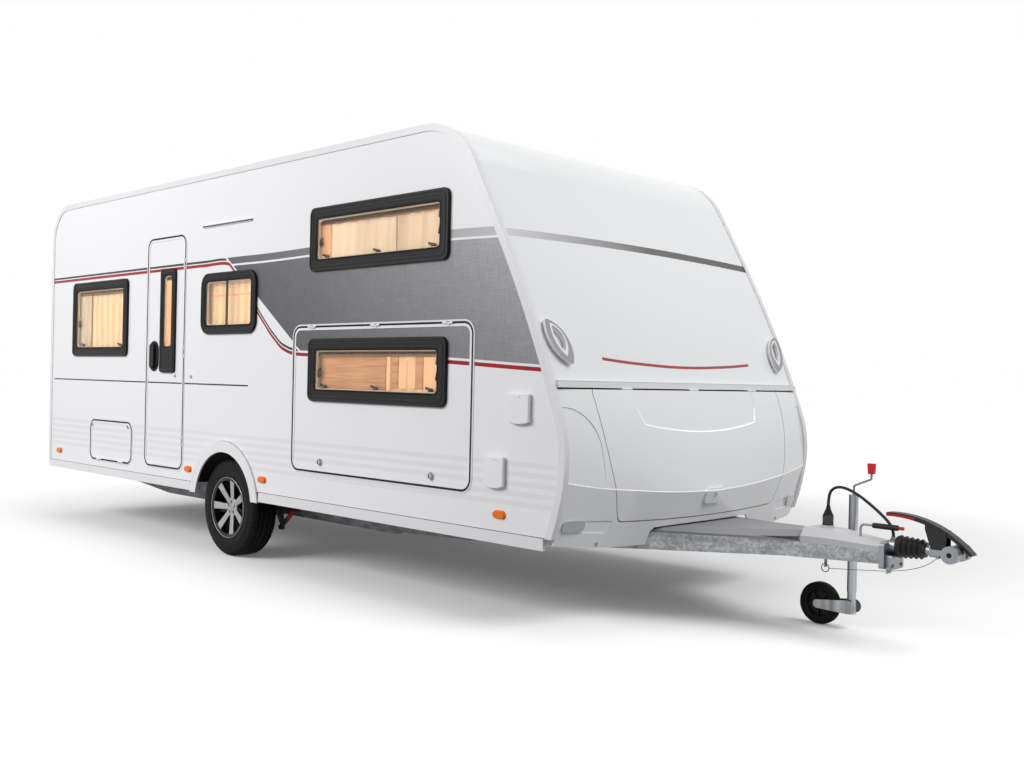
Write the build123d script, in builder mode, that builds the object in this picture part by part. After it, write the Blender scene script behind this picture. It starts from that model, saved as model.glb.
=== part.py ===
from build123d import *

import os
from math import cos, radians, sin, tan

# Touring caravan on one axle, parked on its two road wheels and its jockey wheel.
# Millimetres. +X is forward (towards the coupling), +Y is left, +Z is up. The origin is on the
# ground under the middle of the whole length. Distances along the body are measured from the axle.

os.makedirs("parts", exist_ok=True)
RIGHT, LEFT = -1, 1
SIDES = (("right", RIGHT), ("left", LEFT))
FAR = 6000                      # beyond the whole caravan, for cuts that go right through

# Datum and fits
AXLE = -870                     # the road axle, forward of the origin
SEAT = 0.3                      # clearance between pieces that seat on each other
FIT = 0.05                      # running fit of tubes and shafts

# Body
WALL_Y = 1150                   # outer face of each side wall
WALL_T = 30                     # side wall and hatch sandwich
ROOF_T = 32                     # roof, front and rear sandwich
ROOF_Z = 2645
SILL_Z = 477                    # lower edge of the walls and underside of the floor
FLOOR_T = 40
REAR = -2875
REAR_R = 288                    # round from the rear panel to the roof
NOSE_FOOT = (3020.3, 450.4)     # lower end of the curved front
NOSE_LEAN = 67.9                # direction of the front at its foot, degrees up from forward
#            radius  turn, degrees, from the foot upwards
NOSE_ARCS = [(1338, 14.4),      # tuck under the nose
             (643, 27.7),       # knee
             (6560, 9.1)]       # long slope
BROW_R = 462                    # round from the slope to the roof
INNER_Y = WALL_Y - WALL_T

# Openings cut in the walls, from the axle: outer edges of their frames
#           name     x0     x1     z0    z1   corner  rim  foot: borders round the pane
WINDOWS = {
    RIGHT: [("rear", -2422, -1443, 1371, 1975, 45, 58, 58),
            ("kitchen", -323, 379, 1524, 1947, 90, 48, 48),
            ("upper", 981, 2258, 1892, 2283, 45, 60, 60)],
    LEFT: [("rear", -2422, -1443, 1371, 1975, 45, 58, 58),
           ("dinette", -560, 640, 1371, 1975, 45, 58, 58),
           ("bunk", 1180, 2160, 1371, 1975, 45, 58, 58)],
}
HATCH_WINDOW = ("hatch", 986, 2259, 1096, 1479, 45, 60, 60)
DOOR_WINDOW = ("door", -915, -695, 1250, 2012, 30, 38, 180)
REAR_WINDOW = ("back", -500, 500, 1370, 1970, 45, 58, 58)
FRAME_PROUD = 16
FRAME_NECK = 16                 # wall of the frame inside its cut-out
FRAME_IN = 9                    # cut-out's edge, inside the frame's outer edge
PANE_T = 5
PANE_SUNK = 1.5                 # pane below the frame's outer face
GLASS_R = 34                    # corner of the pane
BLIND_W, BLIND_T = 26, 22       # cassette frame of a blind on the inner wall
CLOTH_T = 4

#        x0     x1    z0   z1: seams of the leaf
DOOR = (-1126, -580, 559, 2238)
HATCH = (821, 2446, 668, 1547)
SERVICE = (-2062, -1362, 545, 846)
CASSETTE = (900, 1260, 640, 960)
CUTS = {RIGHT: [HATCH, DOOR, SERVICE], LEFT: [CASSETTE]}
HATCH_FRAME_W = 22              # aluminium frame round a hatch or the door
LEAF_GAP = 6                    # gap round a door or hatch in its frame
LEAF_R = 60
EDGE_W = 15                     # raised edge profile of a leaf
EDGE_PROUD = 3
LIP, LIP_T = 7, 6               # seal lip behind the leaf's edge
BARREL_R, PIN_R = 5, 2.2        # hinge barrels on the outside
BARREL_L, STRAP_L, STRAP_T = 26, 14, 4

DOOR_HANDLE = (-1083, -949, 1258, 1484)
DOOR_CATCH, WALL_CATCH = (-699, 1233), (-468, 1229)
CATCH_R, CATCH_L = 15, 16
#        in the local x of wall_face
LOCKS = {"side_hatch": [(1115, 724), (2143, 719)], "service_flap": [(-2034, 816), (-1411, 820)],
         "cassette_flap": [(-950, 920), (-1210, 920)]}
LOCK_R, LOCK_PROUD = 17, 6

# Outside trim and fittings
RAIL_W, RAIL_T = 34, 6          # aluminium rail along each wall's rim
SKIRT = (416, SILL_Z)
SKIRT_T = 18
SKIRT_ENDS = (REAR + 4, 2985)
SERVICE_BOXES = [(2740, 2886, 1031, 1187), (2578, 2716, 697, 861)]
SERVICE_BOX = (26, 12, 5)       # proud, corner, softened edge
SERVICE_BASE = (10, 8)          # proud, inset under the lid
SERVICE_SAG = 12                # bulge of the lid's lower edge
SERVICE_LATCH = (22, 10, 3)     # width, height, proud of the lid
AWNING_LIGHT = (-330, 303, 2281, 20, 9)     # x0, x1, z, height, proud
REAR_LAMP = (960, 760, 130, 380, 18)        # y, z, width, height, proud
BRAKE_LAMP = (ROOF_Z - 327, 300, 26, 12)    # z, width, height, proud
FRONT_LAMP = (965, 1100, 507, 566, 9)       # y0, y1, z0, z1, proud
GRAB = (1000, 1440, 12, 18)     # y, z, gap under the ring, its thickness
#            outboard, up the slope: tip, inboard bow, foot, outboard bow
GRAB_LEAF = [(92, 113), (-44, -14), (-23, -130), (84, -40)]
GRAB_GRIP = [(58, 76), (-9, -6), (14, -62), (50, -16)]
GRAB_ROUND = 8
#            outboard, up, radius of the feet
GRAB_FEET = [(69, 90, 7), (-6, -96, 18)]
REAR_MOULD_T = 12
#             y     top edge of the rear moulding
REAR_MOULD = [(1116, 980), (860, 980), (790, 700), (640, 640)]
REAR_MOULD_FOOT = 416

# Wheels and axle
TYRE_R = 334
TYRE_W = 205
TRACK_Y = WALL_Y - 30 - TYRE_W / 2          # middle of each tyre, 30 inside the wall's face
RIM_R = 205
SPOKES = 7
ARCH_Z = TYRE_R + 16            # centre of the round wheel arch
ARCH_R = TYRE_R + 58            # hole in the wall and floor
ARCH_LIP = (ARCH_R - 27, ARCH_R + 48)       # inner and outer radius of the arch trim
ARCH_PROUD = 12
MARKERS = [-2663, -ARCH_LIP[1] - 36, ARCH_LIP[1] + 42, 2677]    # side markers, two beside the arch
MARKER = (92, 46, 14)           # length, height, proud
BOX_IN = TRACK_Y - TYRE_W / 2 - 65          # inner wall of the wheel box
BOX_T = 5
AXLE_TUBE = (170, 380, 50)      # x, z, radius of the flats
STUB_R = 22
DRUM_R = 125

# Chassis
MEMBER_Y = BOX_IN - 50          # outer face of a side member's web
STEEL = 5
FLANGE = 50
MEMBER_TOP = SILL_Z
#            x     lower edge
MEMBER = [(-2600, 400), (-1400, 290), (1430, 290), (1500, 308), (2560, 350)]
CROSS = [-2300, -1050, 900, 1700]
CROSS_LOW = 405
CROSS_L = 40
#            x     web y  lower edge
DRAWBAR = [(1950, MEMBER_Y - STEEL, 352), (2450, MEMBER_Y - STEEL, 357), (3720, 130, 388), (4200, 72, 404)]
DRAWBAR_TOP = 467
STEADY = (60, 440, 480)         # width, z of the pivot, length
STEADY_Y = MEMBER_Y + 100
STEADY_PIN_R = 8
#            end     x of the pivot, way its foot points
STEADIES = [("front", 2060, 1), ("rear", -2060, -1)]
DAMPER_LOW, DAMPER_HIGH = (250, 205), (392, 322)    # x, z of a shock absorber's eyes

# Nose: half-sections of the lower front moulding
#                y   top x  middle x  ridge x  ridge z  foot x  foot z
NOSE_SECTIONS = [(1120, 3028, 3100, 3112, 757, 3023, 442),
                 (700, 3050, 3134, 3166, 705, 3085, 408),
                 (0, 3056, 3148, 3203, 670, 3102, 398)]
NOSE_TOP = 1214
NOSE_MID = 960
BUMPER_T = 10
LID_T = 26
LID_TOP_Y, LID_FOOT_Y, LID_FOOT_Z = 880, 735, 545
LID_GAP = 6
LID_LIP_TOP = 1160              # the seal lip behind the lid ends below the hinge
#          half width at the top, at the corners, z of the corners, z at the middle
LID_DISH = (610, 530, 1036, 990)
DISH_T = 6                      # depth at its foot, running out at the top
HANDLE = (-84, 84, 596, 684, 15)    # lid handle: y0, y1, z0, z1, proud
#        y     z: crease over the hollow of each cheek, from the wall inwards and down
HOLLOW = [(1115, 1125), (944, 1052), (887, 919)]
HOLLOW_FOOT = (872, 735)
HOLLOW_T = 4
SCOOP = [(967, 562), (781, 552), (815, 489), (967, 499)]    # hollow inboard of each front lamp
SCOOP_T = 5
NOTCH = (856, 432, 13)          # y, z, radius of the drain notch in the foot
BELT = (1222, 1252, 3044)       # ledge over the lid: z0, z1, front x
LEDGE_L = 60
BULKHEAD = (2640, 20)           # x, thickness
SLOT = (485, 470, 440, 494)     # drawbar slot: half widths at the foot, shoulder and top, top z

# Drawbar fittings
JOCKEY = (3927, 190)            # x, y of the jockey wheel's leg
JOCKEY_R, JOCKEY_W = 111, 60
JOCKEY_TRAIL = 175
TUBE = (24, 195, 690)           # radius, foot and top of the outer tube
LEG_R = 21.5
SPIGOT_R = 15
LEG_FOOT, SPIGOT_FOOT = 155.3, 88
CLAMP = (405, 50)               # foot and height
CLAMP_WALL = 14
CRANK_REACH, KNOB_Z = 94, 812
#          x     half width  shoulder  crown half width  crown: cross-sections of the covers
REAR_COVER = [(3080, 440, 474, 400, 482), (3500, 242, 478, 190, 506), (3796, 118, 482, 70, 524)]
FRONT_COVER = [(3800, 122, 500, 84, 541), (3930, 106, 500, 72, 538), (4195, 72, 487, 44, 508)]
COVER_T = 4
COVER_VENT = [(3600, 482), (3790, 493), (3790, 472)]    # side view of the wedge cut in the rear cover
PLUG = (3886, 0, 535, 27)       # x, y, foot and radius of the plug's body
GLAND = (4212, 46, 528, 11)     # x, y, top and radius of the lead's gland

# Coupling
BALL = (4540, 490)              # x, z of the tow ball's centre
BALL_R = 25.1
SOCKET_L = 26                   # straight wall below the ball's centre
HEAD_R = 38
PAD = (41, 40, 88)              # friction pad housing: radius, inner and outer y
DRAW_TUBE_R = 25
HOUSING = (4200 + SEAT, 26, 85, 382, 507)   # x, length, half width, z0, z1
SNOUT_R, SNOUT_END = 40, 4260
CASTING = (65, 380, 450)        # half width, z0, z1 of the lug under the snout
ANCHOR = (4468, 464, 6)         # x, z, radius of the pin the breakaway cable hooks on
NECK = (4420, 100, 50, 60)      # x, length, width and height of the head's neck
#             three points along the top edge, three back along the lower edge
LEVER = [(4205, 652), (4445, 615), (4625, 492), (4613, 486), (4475, 580), (4205, 634)]
LEVER_Y = 27
CHEEK = [(4430, 500), (4500, 500), (4500, 590), (4400, 610), (4400, 590)]
CHEEK_Y, CHEEK_T = 25.3, 6
HANDBRAKE = (-25, 580, 6)       # y, height and radius of the rod
ROD_X, ROD_FOOT = 4075, 505
GRIP = (4140, 128, 13)          # x, length, radius
BUTTON = (27, 8)                # length, radius
BELLOWS = (4260 + SEAT, 26, 5)  # x, pitch, folds

# Cords: radius, then the points of the route
LEAD_R = 6
LEAD = [(3886, 0, 645), (3886, 0, 706), (3908, 6, 742), (3948, 12, 751), (3996, 18, 737), (4045, 24, 711),
        (4090, 30, 679), (4135, 36, 644), (4180, 42, 604), (4212, 46, 562), (4212, 46, 518)]
BRAKE_R = 1.5
BRAKE = [(3952.8, -100, 352), (4225, -100, 375), (4290, -99, 386), (4350, -94, 398), (4405, -82, 416),
         (4445, -62, 438), (4466, -45, 462)]
RING = (3930, -100, 352, 20, 2.5)   # breakaway cable's ring: x, y, z, radius, wire
PLUG_TOP, PLUG_NECK_R = 655, 8


def save(piece, name):
    piece.part.label = name
    export_step(piece.part, f"parts/{name}.step")


def upright(y):
    """Plane of the side view at y: local x from the axle, local y up, growing towards -Y."""
    return Plane(origin=(AXLE, y, 0), x_dir=(1, 0, 0), z_dir=(0, -1, 0))


def across(x):
    """Plane of the front view at x from the axle: local x is +Y, local y up, growing forward."""
    return Plane(origin=(AXLE + x, 0, 0), x_dir=(0, 1, 0), z_dir=(1, 0, 0))


def span(side, near, far):
    """Side-view plane and depth of a piece that lies from near to far off the middle."""
    return upright(max(side * near, side * far)), abs(far - near)


def wall_face(side):
    """Sketch plane on a wall's outer face, growing outwards, local x from the axle, local y up."""
    return Plane(origin=(AXLE, side * WALL_Y, 0), x_dir=(-side, 0, 0), z_dir=(0, side, 0))


def spread(side, x0, x1, *rest):
    """Row of a table in the local x of wall_face, which runs backwards on the left wall."""
    return (min(-side * x0, -side * x1), max(-side * x0, -side * x1), *rest)


def rounded(x0, x1, z0, z1, radius, grow=0, mode=Mode.ADD):
    """Rounded rectangle between two corners, grown by grow all round."""
    with Locations(((x0 + x1) / 2, (z0 + z1) / 2)):
        RectangleRounded(x1 - x0 + 2 * grow, z1 - z0 + 2 * grow, radius + grow, mode=mode)


def clip(x0, x1, z0, z1):
    """Keep only this rectangle of the sketch being drawn."""
    with Locations(((x0 + x1) / 2, (z0 + z1) / 2)):
        Rectangle(x1 - x0, z1 - z0, mode=Mode.INTERSECT)


# Side outline of the body, from the nose's foot up, over the roof and down the rear. A straight
# stretch between the slope and the brow takes up whatever height the roof has.
below = NOSE_FOOT[1] - 70
with BuildSketch() as outline:
    with BuildLine():
        edge = Line((NOSE_FOOT[0], below), NOSE_FOOT)
        heading = NOSE_LEAN
        for radius, turn in NOSE_ARCS:
            start = (cos(radians(heading)), sin(radians(heading)))
            edge = JernArc(start=edge @ 1, tangent=start, radius=radius, arc_size=turn)
            heading += turn
        long_slope = edge
        rise = ROOF_Z - BROW_R * (1 + cos(radians(heading))) - (edge @ 1).Y
        run = rise / sin(radians(heading))
        slope = PolarLine(edge @ 1, run, heading)
        brow = JernArc(start=slope @ 1, tangent=slope % 1, radius=BROW_R, arc_size=180 - heading)
        top = Line(brow @ 1, (REAR + REAR_R, ROOF_Z))
        corner = JernArc(start=top @ 1, tangent=top % 1, radius=REAR_R, arc_size=90)
        Polyline(corner @ 1, (REAR, below), (NOSE_FOOT[0], below))
    make_face()
body_face = outline.sketch
BROW_X = (brow @ 1).X

with BuildSketch() as skin:
    add(body_face)
    offset(body_face, amount=-ROOF_T, mode=Mode.SUBTRACT)
skin_face = skin.sketch

# Side walls
for name, side in SIDES:
    plane, depth = span(side, INNER_Y, WALL_Y)
    with BuildPart() as wall:
        with BuildSketch(plane):
            add(body_face)
            clip(-FAR, FAR, SILL_Z, FAR)
            with Locations((0, ARCH_Z)):
                Circle(ARCH_R, mode=Mode.SUBTRACT)
            for _, x0, x1, z0, z1, radius, *_ in WINDOWS[side]:
                rounded(x0, x1, z0, z1, radius, grow=-FRAME_IN, mode=Mode.SUBTRACT)
            for row in CUTS[side]:
                rounded(*row, LEAF_R, grow=HATCH_FRAME_W, mode=Mode.SUBTRACT)
        extrude(amount=depth)
    save(wall, f"side_wall_{name}")

# Roof, rear and front panels between the walls
#          x     y    length width of each cut-out
ROOF_LIGHTS = [(-1950, 0, 400, 400), (-150, 0, 500, 700), (1500, 0, 400, 400)]
_, *REAR_ROW = REAR_WINDOW
REAR_FACE = Plane(origin=(AXLE + REAR, 0, 0), x_dir=(0, -1, 0), z_dir=(-1, 0, 0))

with BuildPart() as roof:
    with BuildSketch(upright(INNER_Y)):
        add(skin_face)
        clip(-FAR, BROW_X, ROOF_Z - REAR_R, FAR)
    extrude(amount=2 * INNER_Y)
    with BuildSketch(Plane.XY.offset(ROOF_Z - ROOF_T)):
        for x, y, length, width in ROOF_LIGHTS:
            with Locations((AXLE + x, y)):
                RectangleRounded(length, width, 40)
    extrude(amount=ROOF_T, mode=Mode.SUBTRACT)
save(roof, "roof_panel")

with BuildPart() as rear:
    with BuildSketch(upright(INNER_Y)):
        add(skin_face)
        clip(-FAR, REAR + ROOF_T, SILL_Z, ROOF_Z - REAR_R)
    extrude(amount=2 * INNER_Y)
    with BuildSketch(REAR_FACE):
        rounded(*REAR_ROW[:5], grow=-FRAME_IN)
    extrude(amount=-ROOF_T, mode=Mode.SUBTRACT)
save(rear, "rear_panel")

HINGES_Y = (-600, 0, 600)       # of the locker lid, hung under the ledge
LID_AXIS = (BELT[2] + 6, (NOSE_TOP + BELT[0]) / 2)
LID_BARREL_R = (BELT[0] - NOSE_TOP) / 2 - SEAT
with BuildPart() as front:
    with BuildSketch(upright(INNER_Y)):
        add(skin_face)
        clip(BROW_X, FAR, BELT[0], FAR)
        with Locations((BELT[2] - LEDGE_L / 2, (BELT[0] + BELT[1]) / 2)):
            Rectangle(LEDGE_L, BELT[1] - BELT[0])
    extrude(amount=2 * INNER_Y)
    for y in HINGES_Y:
        for start in (y - 1.5 * BARREL_L - SEAT, y + 0.5 * BARREL_L + SEAT):
            with BuildSketch(upright(start + BARREL_L)):
                with Locations(LID_AXIS):
                    Circle(LID_BARREL_R)
                with Locations((LID_AXIS[0] - 10, (LID_AXIS[1] + BELT[0]) / 2)):
                    Rectangle(20, BELT[0] - LID_AXIS[1])
            extrude(amount=BARREL_L)
        with BuildSketch(upright(y + BARREL_L)):
            with Locations(LID_AXIS):
                Circle(PIN_R - 0.5)
        extrude(amount=2 * BARREL_L)
save(front, "front_panel")

with BuildPart() as floor:
    floor_front = BULKHEAD[0] + 360
    with BuildSketch(Plane.XY.offset(SILL_Z)):
        with Locations((AXLE + (REAR + ROOF_T + floor_front) / 2, 0)):
            Rectangle(floor_front - REAR - ROOF_T, 2 * INNER_Y)
        with Locations((AXLE, (INNER_Y + BOX_IN) / 2), (AXLE, -(INNER_Y + BOX_IN) / 2)):
            Rectangle(2 * ARCH_R, INNER_Y - BOX_IN, mode=Mode.SUBTRACT)
    extrude(amount=FLOOR_T)
save(floor, "floor_panel")

# Gas locker behind the nose: bulkhead and shelf up to the ledge
with BuildPart() as locker:
    bulkhead_x, board = BULKHEAD
    with BuildSketch(upright(INNER_Y)):
        with BuildLine():
            Polyline((bulkhead_x, SILL_Z + FLOOR_T), (bulkhead_x, BELT[1]), (BELT[2] - LEDGE_L, BELT[1]),
                     (BELT[2] - LEDGE_L, BELT[0]), (bulkhead_x + board, BELT[0]),
                     (bulkhead_x + board, SILL_Z + FLOOR_T), close=True)
        make_face()
        add(skin_face.moved(Location((-SEAT, 0, 0))), mode=Mode.SUBTRACT)
    extrude(amount=2 * INNER_Y)
save(locker, "locker_bulkhead")


# Lower front moulding
def nose_shell(inner, outer=0, inner_top=None, inner_ridge=None):
    """The moulding from wall to wall, between two depths behind its outer face.

    The inner depth may differ at the top edge and at the ridge.
    """
    inner_top = inner if inner_top is None else inner_top
    inner_ridge = inner if inner_ridge is None else inner_ridge
    stations = [(LEFT, row) for row in NOSE_SECTIONS]
    stations += [(RIGHT, row) for row in reversed(NOSE_SECTIONS[:-1])]
    with BuildPart() as shell:
        for side, (y, top_x, mid_x, ridge_x, ridge_z, foot_x, foot_z) in stations:
            with BuildSketch(upright(side * y)):
                with BuildLine():
                    upper = ThreePointArc((top_x - outer, NOSE_TOP), (mid_x - outer, NOSE_MID),
                                          (ridge_x - outer, ridge_z))
                    lower = Line(upper @ 1, (foot_x - outer, foot_z))
                    foot = Line(lower @ 1, (foot_x - inner_ridge, foot_z))
                    rising = Line(foot @ 1, (ridge_x - inner_ridge, ridge_z))
                    back = ThreePointArc(rising @ 1, (mid_x - inner, NOSE_MID), (top_x - inner_top, NOSE_TOP))
                    Line(back @ 1, upper @ 0)
                make_face()
        loft()
    return shell.part


def lid_outline(grow):
    """Front view of the locker lid, grown all round but at its top."""
    waist = (LID_TOP_Y + LID_FOOT_Y) / 2 + 30 + grow
    middle = (NOSE_TOP + LID_FOOT_Z) / 2 - 20
    with BuildSketch(across(0)) as view:
        with BuildLine():
            left_edge = ThreePointArc((LID_TOP_Y + grow, NOSE_TOP + 20), (waist, middle),
                                      (LID_FOOT_Y + grow, LID_FOOT_Z - grow))
            right_edge = ThreePointArc((-LID_TOP_Y - grow, NOSE_TOP + 20), (-waist, middle),
                                       (-LID_FOOT_Y - grow, LID_FOOT_Z - grow))
            ThreePointArc(left_edge @ 1, (0, LID_FOOT_Z - 15 - grow), right_edge @ 1)
            Line(left_edge @ 0, right_edge @ 0)
        make_face()
        fillet(view.vertices().group_by(Axis.Z)[0], 45)
    return view.sketch


def dish_outline():
    """Front view of the shallow dish pressed in the lid's upper half."""
    top_y, corner_y, corner_z, middle_z = LID_DISH
    with BuildSketch(across(0)) as view:
        with BuildLine():
            low = ThreePointArc((corner_y, corner_z), (0, middle_z), (-corner_y, corner_z))
            Polyline(low @ 0, (top_y, NOSE_TOP + 5), (-top_y, NOSE_TOP + 5), low @ 1)
        make_face()
        fillet(view.vertices().group_by(Axis.Z)[0], 40)
    return view.sketch


lip_depth = LID_T + SEAT
with BuildPart() as lip_return:
    add(nose_shell(lip_depth + LIP_T, 1))
    extrude(lid_outline(LID_GAP + LIP_T), amount=FAR, mode=Mode.INTERSECT)
    extrude(lid_outline(LID_GAP), amount=FAR, mode=Mode.SUBTRACT)

with BuildPart() as seal_lip:
    add(nose_shell(lip_depth + LIP_T, lip_depth))
    extrude(lid_outline(LID_GAP + 1), amount=FAR, mode=Mode.INTERSECT)
    extrude(lid_outline(-LIP), amount=FAR, mode=Mode.SUBTRACT)
    add(lip_return.part)
    split(bisect_by=Plane.XY.offset(LID_LIP_TOP), keep=Keep.BOTTOM)

with BuildPart() as cheeks:
    add(nose_shell(HOLLOW_T, -20, inner_ridge=0.5))
    with BuildSketch(across(0)):
        for side in (RIGHT, LEFT):
            with BuildLine():
                crease = ThreePointArc(*[(side * y, z) for y, z in HOLLOW])
                Polyline(crease @ 1, (side * HOLLOW_FOOT[0], HOLLOW_FOOT[1]), (side * WALL_Y, HOLLOW_FOOT[1]),
                         (side * WALL_Y, HOLLOW[0][1]), crease @ 0)
            make_face()
    extrude(amount=FAR, mode=Mode.INTERSECT)

with BuildPart() as scoops:
    add(nose_shell(SCOOP_T, -20))
    with BuildSketch(across(0)):
        for side in (RIGHT, LEFT):
            with BuildLine():
                Polyline([(side * y, z) for y, z in SCOOP], close=True)
            make_face()
    extrude(amount=FAR, mode=Mode.INTERSECT)

with BuildPart() as bumper:
    add(nose_shell(BUMPER_T))
    add(cheeks.part, mode=Mode.SUBTRACT)
    add(scoops.part, mode=Mode.SUBTRACT)
    with BuildSketch(across(0)):
        with Locations((-NOTCH[0], NOTCH[1]), (NOTCH[0], NOTCH[1])):
            Circle(NOTCH[2])
    extrude(amount=FAR, mode=Mode.SUBTRACT)
    extrude(lid_outline(LID_GAP), amount=FAR, mode=Mode.SUBTRACT)
    foot_y, shoulder_y, top_y, top_z = SLOT
    with BuildSketch(across(0)):
        Polygon((-foot_y, 300), (foot_y, 300), (shoulder_y, DRAWBAR_TOP + 3), (top_y, top_z), (-top_y, top_z),
                (-shoulder_y, DRAWBAR_TOP + 3), align=None)
    extrude(amount=FAR, mode=Mode.SUBTRACT)
    add(seal_lip.part)
save(bumper, "front_bumper")

with BuildPart() as dish:
    add(nose_shell(DISH_T, -20, inner_top=0.5))
    extrude(dish_outline(), amount=FAR, mode=Mode.INTERSECT)

with BuildPart() as handle_boss:
    add(nose_shell(2, -HANDLE[4]))
    with BuildSketch(across(0)):
        rounded(*HANDLE[:4], 30)
    extrude(amount=FAR, mode=Mode.INTERSECT)

with BuildPart() as lid:
    add(nose_shell(LID_T))
    extrude(lid_outline(0), amount=FAR, mode=Mode.INTERSECT)
    add(dish.part, mode=Mode.SUBTRACT)
    add(handle_boss.part)
    for y in HINGES_Y:
        with BuildSketch(upright(y + BARREL_L / 2)):
            with Locations(LID_AXIS):
                Circle(LID_BARREL_R)
            with Locations((LID_AXIS[0] - 11, (LID_AXIS[1] + NOSE_TOP) / 2 - 1)):
                Rectangle(22, LID_AXIS[1] - NOSE_TOP + 1)
            with Locations(LID_AXIS):
                Circle(PIN_R - 0.5 + SEAT, mode=Mode.SUBTRACT)
        extrude(amount=BARREL_L)
save(lid, "locker_lid")


# Windows: a black frame with a flange outside and a neck through the wall, and a flush pane
def pane_outline(x0, x1, z0, z1, rim, foot, grow=0, mode=Mode.ADD):
    rounded(x0 + rim, x1 - rim, z0 + foot, z1 - rim, GLASS_R, grow=grow, mode=mode)


def window_frame(plane, x0, x1, z0, z1, radius, rim, foot, wall=WALL_T):
    with BuildSketch(plane) as flange:
        rounded(x0, x1, z0, z1, radius)
        pane_outline(x0, x1, z0, z1, rim, foot, mode=Mode.SUBTRACT)
    extrude(flange.sketch, amount=FRAME_PROUD)
    edge = -FRAME_IN - SEAT
    with BuildSketch(plane) as neck:
        rounded(x0, x1, z0, z1, radius, grow=edge)
        rounded(x0, x1, z0, z1, radius, grow=edge - FRAME_NECK, mode=Mode.SUBTRACT)
    extrude(neck.sketch, amount=-wall)


def window_pane(plane, x0, x1, z0, z1, radius, rim, foot):
    with BuildSketch(plane.offset(FRAME_PROUD - PANE_SUNK)) as sheet:
        pane_outline(x0, x1, z0, z1, rim, foot, grow=-SEAT)
    extrude(sheet.sketch, amount=-PANE_T)


def blind(plane, x0, x1, z0, z1, radius, rim, foot, wall=WALL_T):
    """Cassette frame on the inner face of the wall with its cloth drawn across."""
    inside = plane.offset(-wall)
    with BuildSketch(inside) as cassette:
        rounded(x0, x1, z0, z1, radius, grow=BLIND_W - FRAME_IN)
        rounded(x0, x1, z0, z1, radius, grow=-FRAME_IN - FRAME_NECK, mode=Mode.SUBTRACT)
    extrude(cassette.sketch, amount=-BLIND_T)
    with BuildSketch(inside.offset(-BLIND_T / 2)) as cloth:
        rounded(x0, x1, z0, z1, radius, grow=-FRAME_IN - FRAME_NECK)
    extrude(cloth.sketch, amount=-CLOTH_T)


ROWS = [(wall_face(side), spread(side, *row), WALL_T) for side in (RIGHT, LEFT) for _, *row in WINDOWS[side]]
ROWS.append((REAR_FACE, REAR_ROW, ROOF_T))
with BuildPart() as frames:
    for plane, row, wall in ROWS:
        window_frame(plane, *row, wall=wall)
    x0, x1, z0, z1, *_ = WINDOWS[RIGHT][1][1:]
    with BuildSketch(wall_face(RIGHT)):
        with Locations(((x0 + x1) / 2 - 20, (z0 + z1) / 2)):
            Rectangle(18, z1 - z0 - 60)
    extrude(amount=FRAME_PROUD - PANE_SUNK - PANE_T - SEAT)
save(frames, "window_frames")

with BuildPart() as panes:
    for plane, row, wall in ROWS:
        window_pane(plane, *row)
save(panes, "window_panes")

with BuildPart() as blinds:
    for plane, row, wall in ROWS:
        blind(plane, *row, wall=wall)
save(blinds, "blinds")

with BuildPart() as hatch_blind:
    blind(wall_face(RIGHT), *HATCH_WINDOW[1:])
save(hatch_blind, "hatch_blind")


# Doors and hatches: an aluminium frame in the wall, with a seal lip behind the leaf, and a leaf of
# the wall's own thickness with a raised edge profile
def leaf_frame(row, side):
    outside = wall_face(side)
    row = spread(side, *row)
    with BuildSketch(outside.offset(EDGE_PROUD)) as ring:
        rounded(*row, LEAF_R, grow=HATCH_FRAME_W - SEAT)
        rounded(*row, LEAF_R, grow=LEAF_GAP, mode=Mode.SUBTRACT)
    extrude(ring.sketch, amount=-WALL_T - EDGE_PROUD - SEAT)
    with BuildSketch(outside.offset(-WALL_T - SEAT)) as lip:
        rounded(*row, LEAF_R, grow=HATCH_FRAME_W - SEAT)
        rounded(*row, LEAF_R, grow=-LIP, mode=Mode.SUBTRACT)
    extrude(lip.sketch, amount=-LIP_T)


def leaf(row, side, window=None):
    outside = wall_face(side)
    row = spread(side, *row)
    with BuildSketch(outside) as sheet:
        rounded(*row, LEAF_R)
    extrude(sheet.sketch, amount=-WALL_T)
    with BuildSketch(outside) as edge:
        rounded(*row, LEAF_R)
        rounded(*row, LEAF_R, grow=-EDGE_W, mode=Mode.SUBTRACT)
    extrude(edge.sketch, amount=EDGE_PROUD)
    if window:
        with BuildSketch(outside) as hole:
            rounded(*spread(side, *window[1:5]), window[5], grow=-FRAME_IN)
        extrude(hole.sketch, amount=-WALL_T, mode=Mode.SUBTRACT)


def locks(name, side):
    if name in LOCKS:
        with BuildSketch(wall_face(side)) as faces:
            with Locations(*LOCKS[name]):
                Circle(LOCK_R)
        extrude(faces.sketch, amount=LOCK_PROUD, taper=20)


# Hinges: the edge of the leaf they are on, and where along it their middles are
#              leaf     side   edge     places
HINGES = [("door", DOOR, RIGHT, "front", (760, 1400, 2040)),
          ("hatch", HATCH, RIGHT, "top", (1010, 1634, 2258)),
          ("service", SERVICE, RIGHT, "foot", (-1900, -1524)),
          ("cassette", CASSETTE, LEFT, "front", (710, 890))]
AXIS_OUT = EDGE_PROUD + BARREL_R


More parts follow.
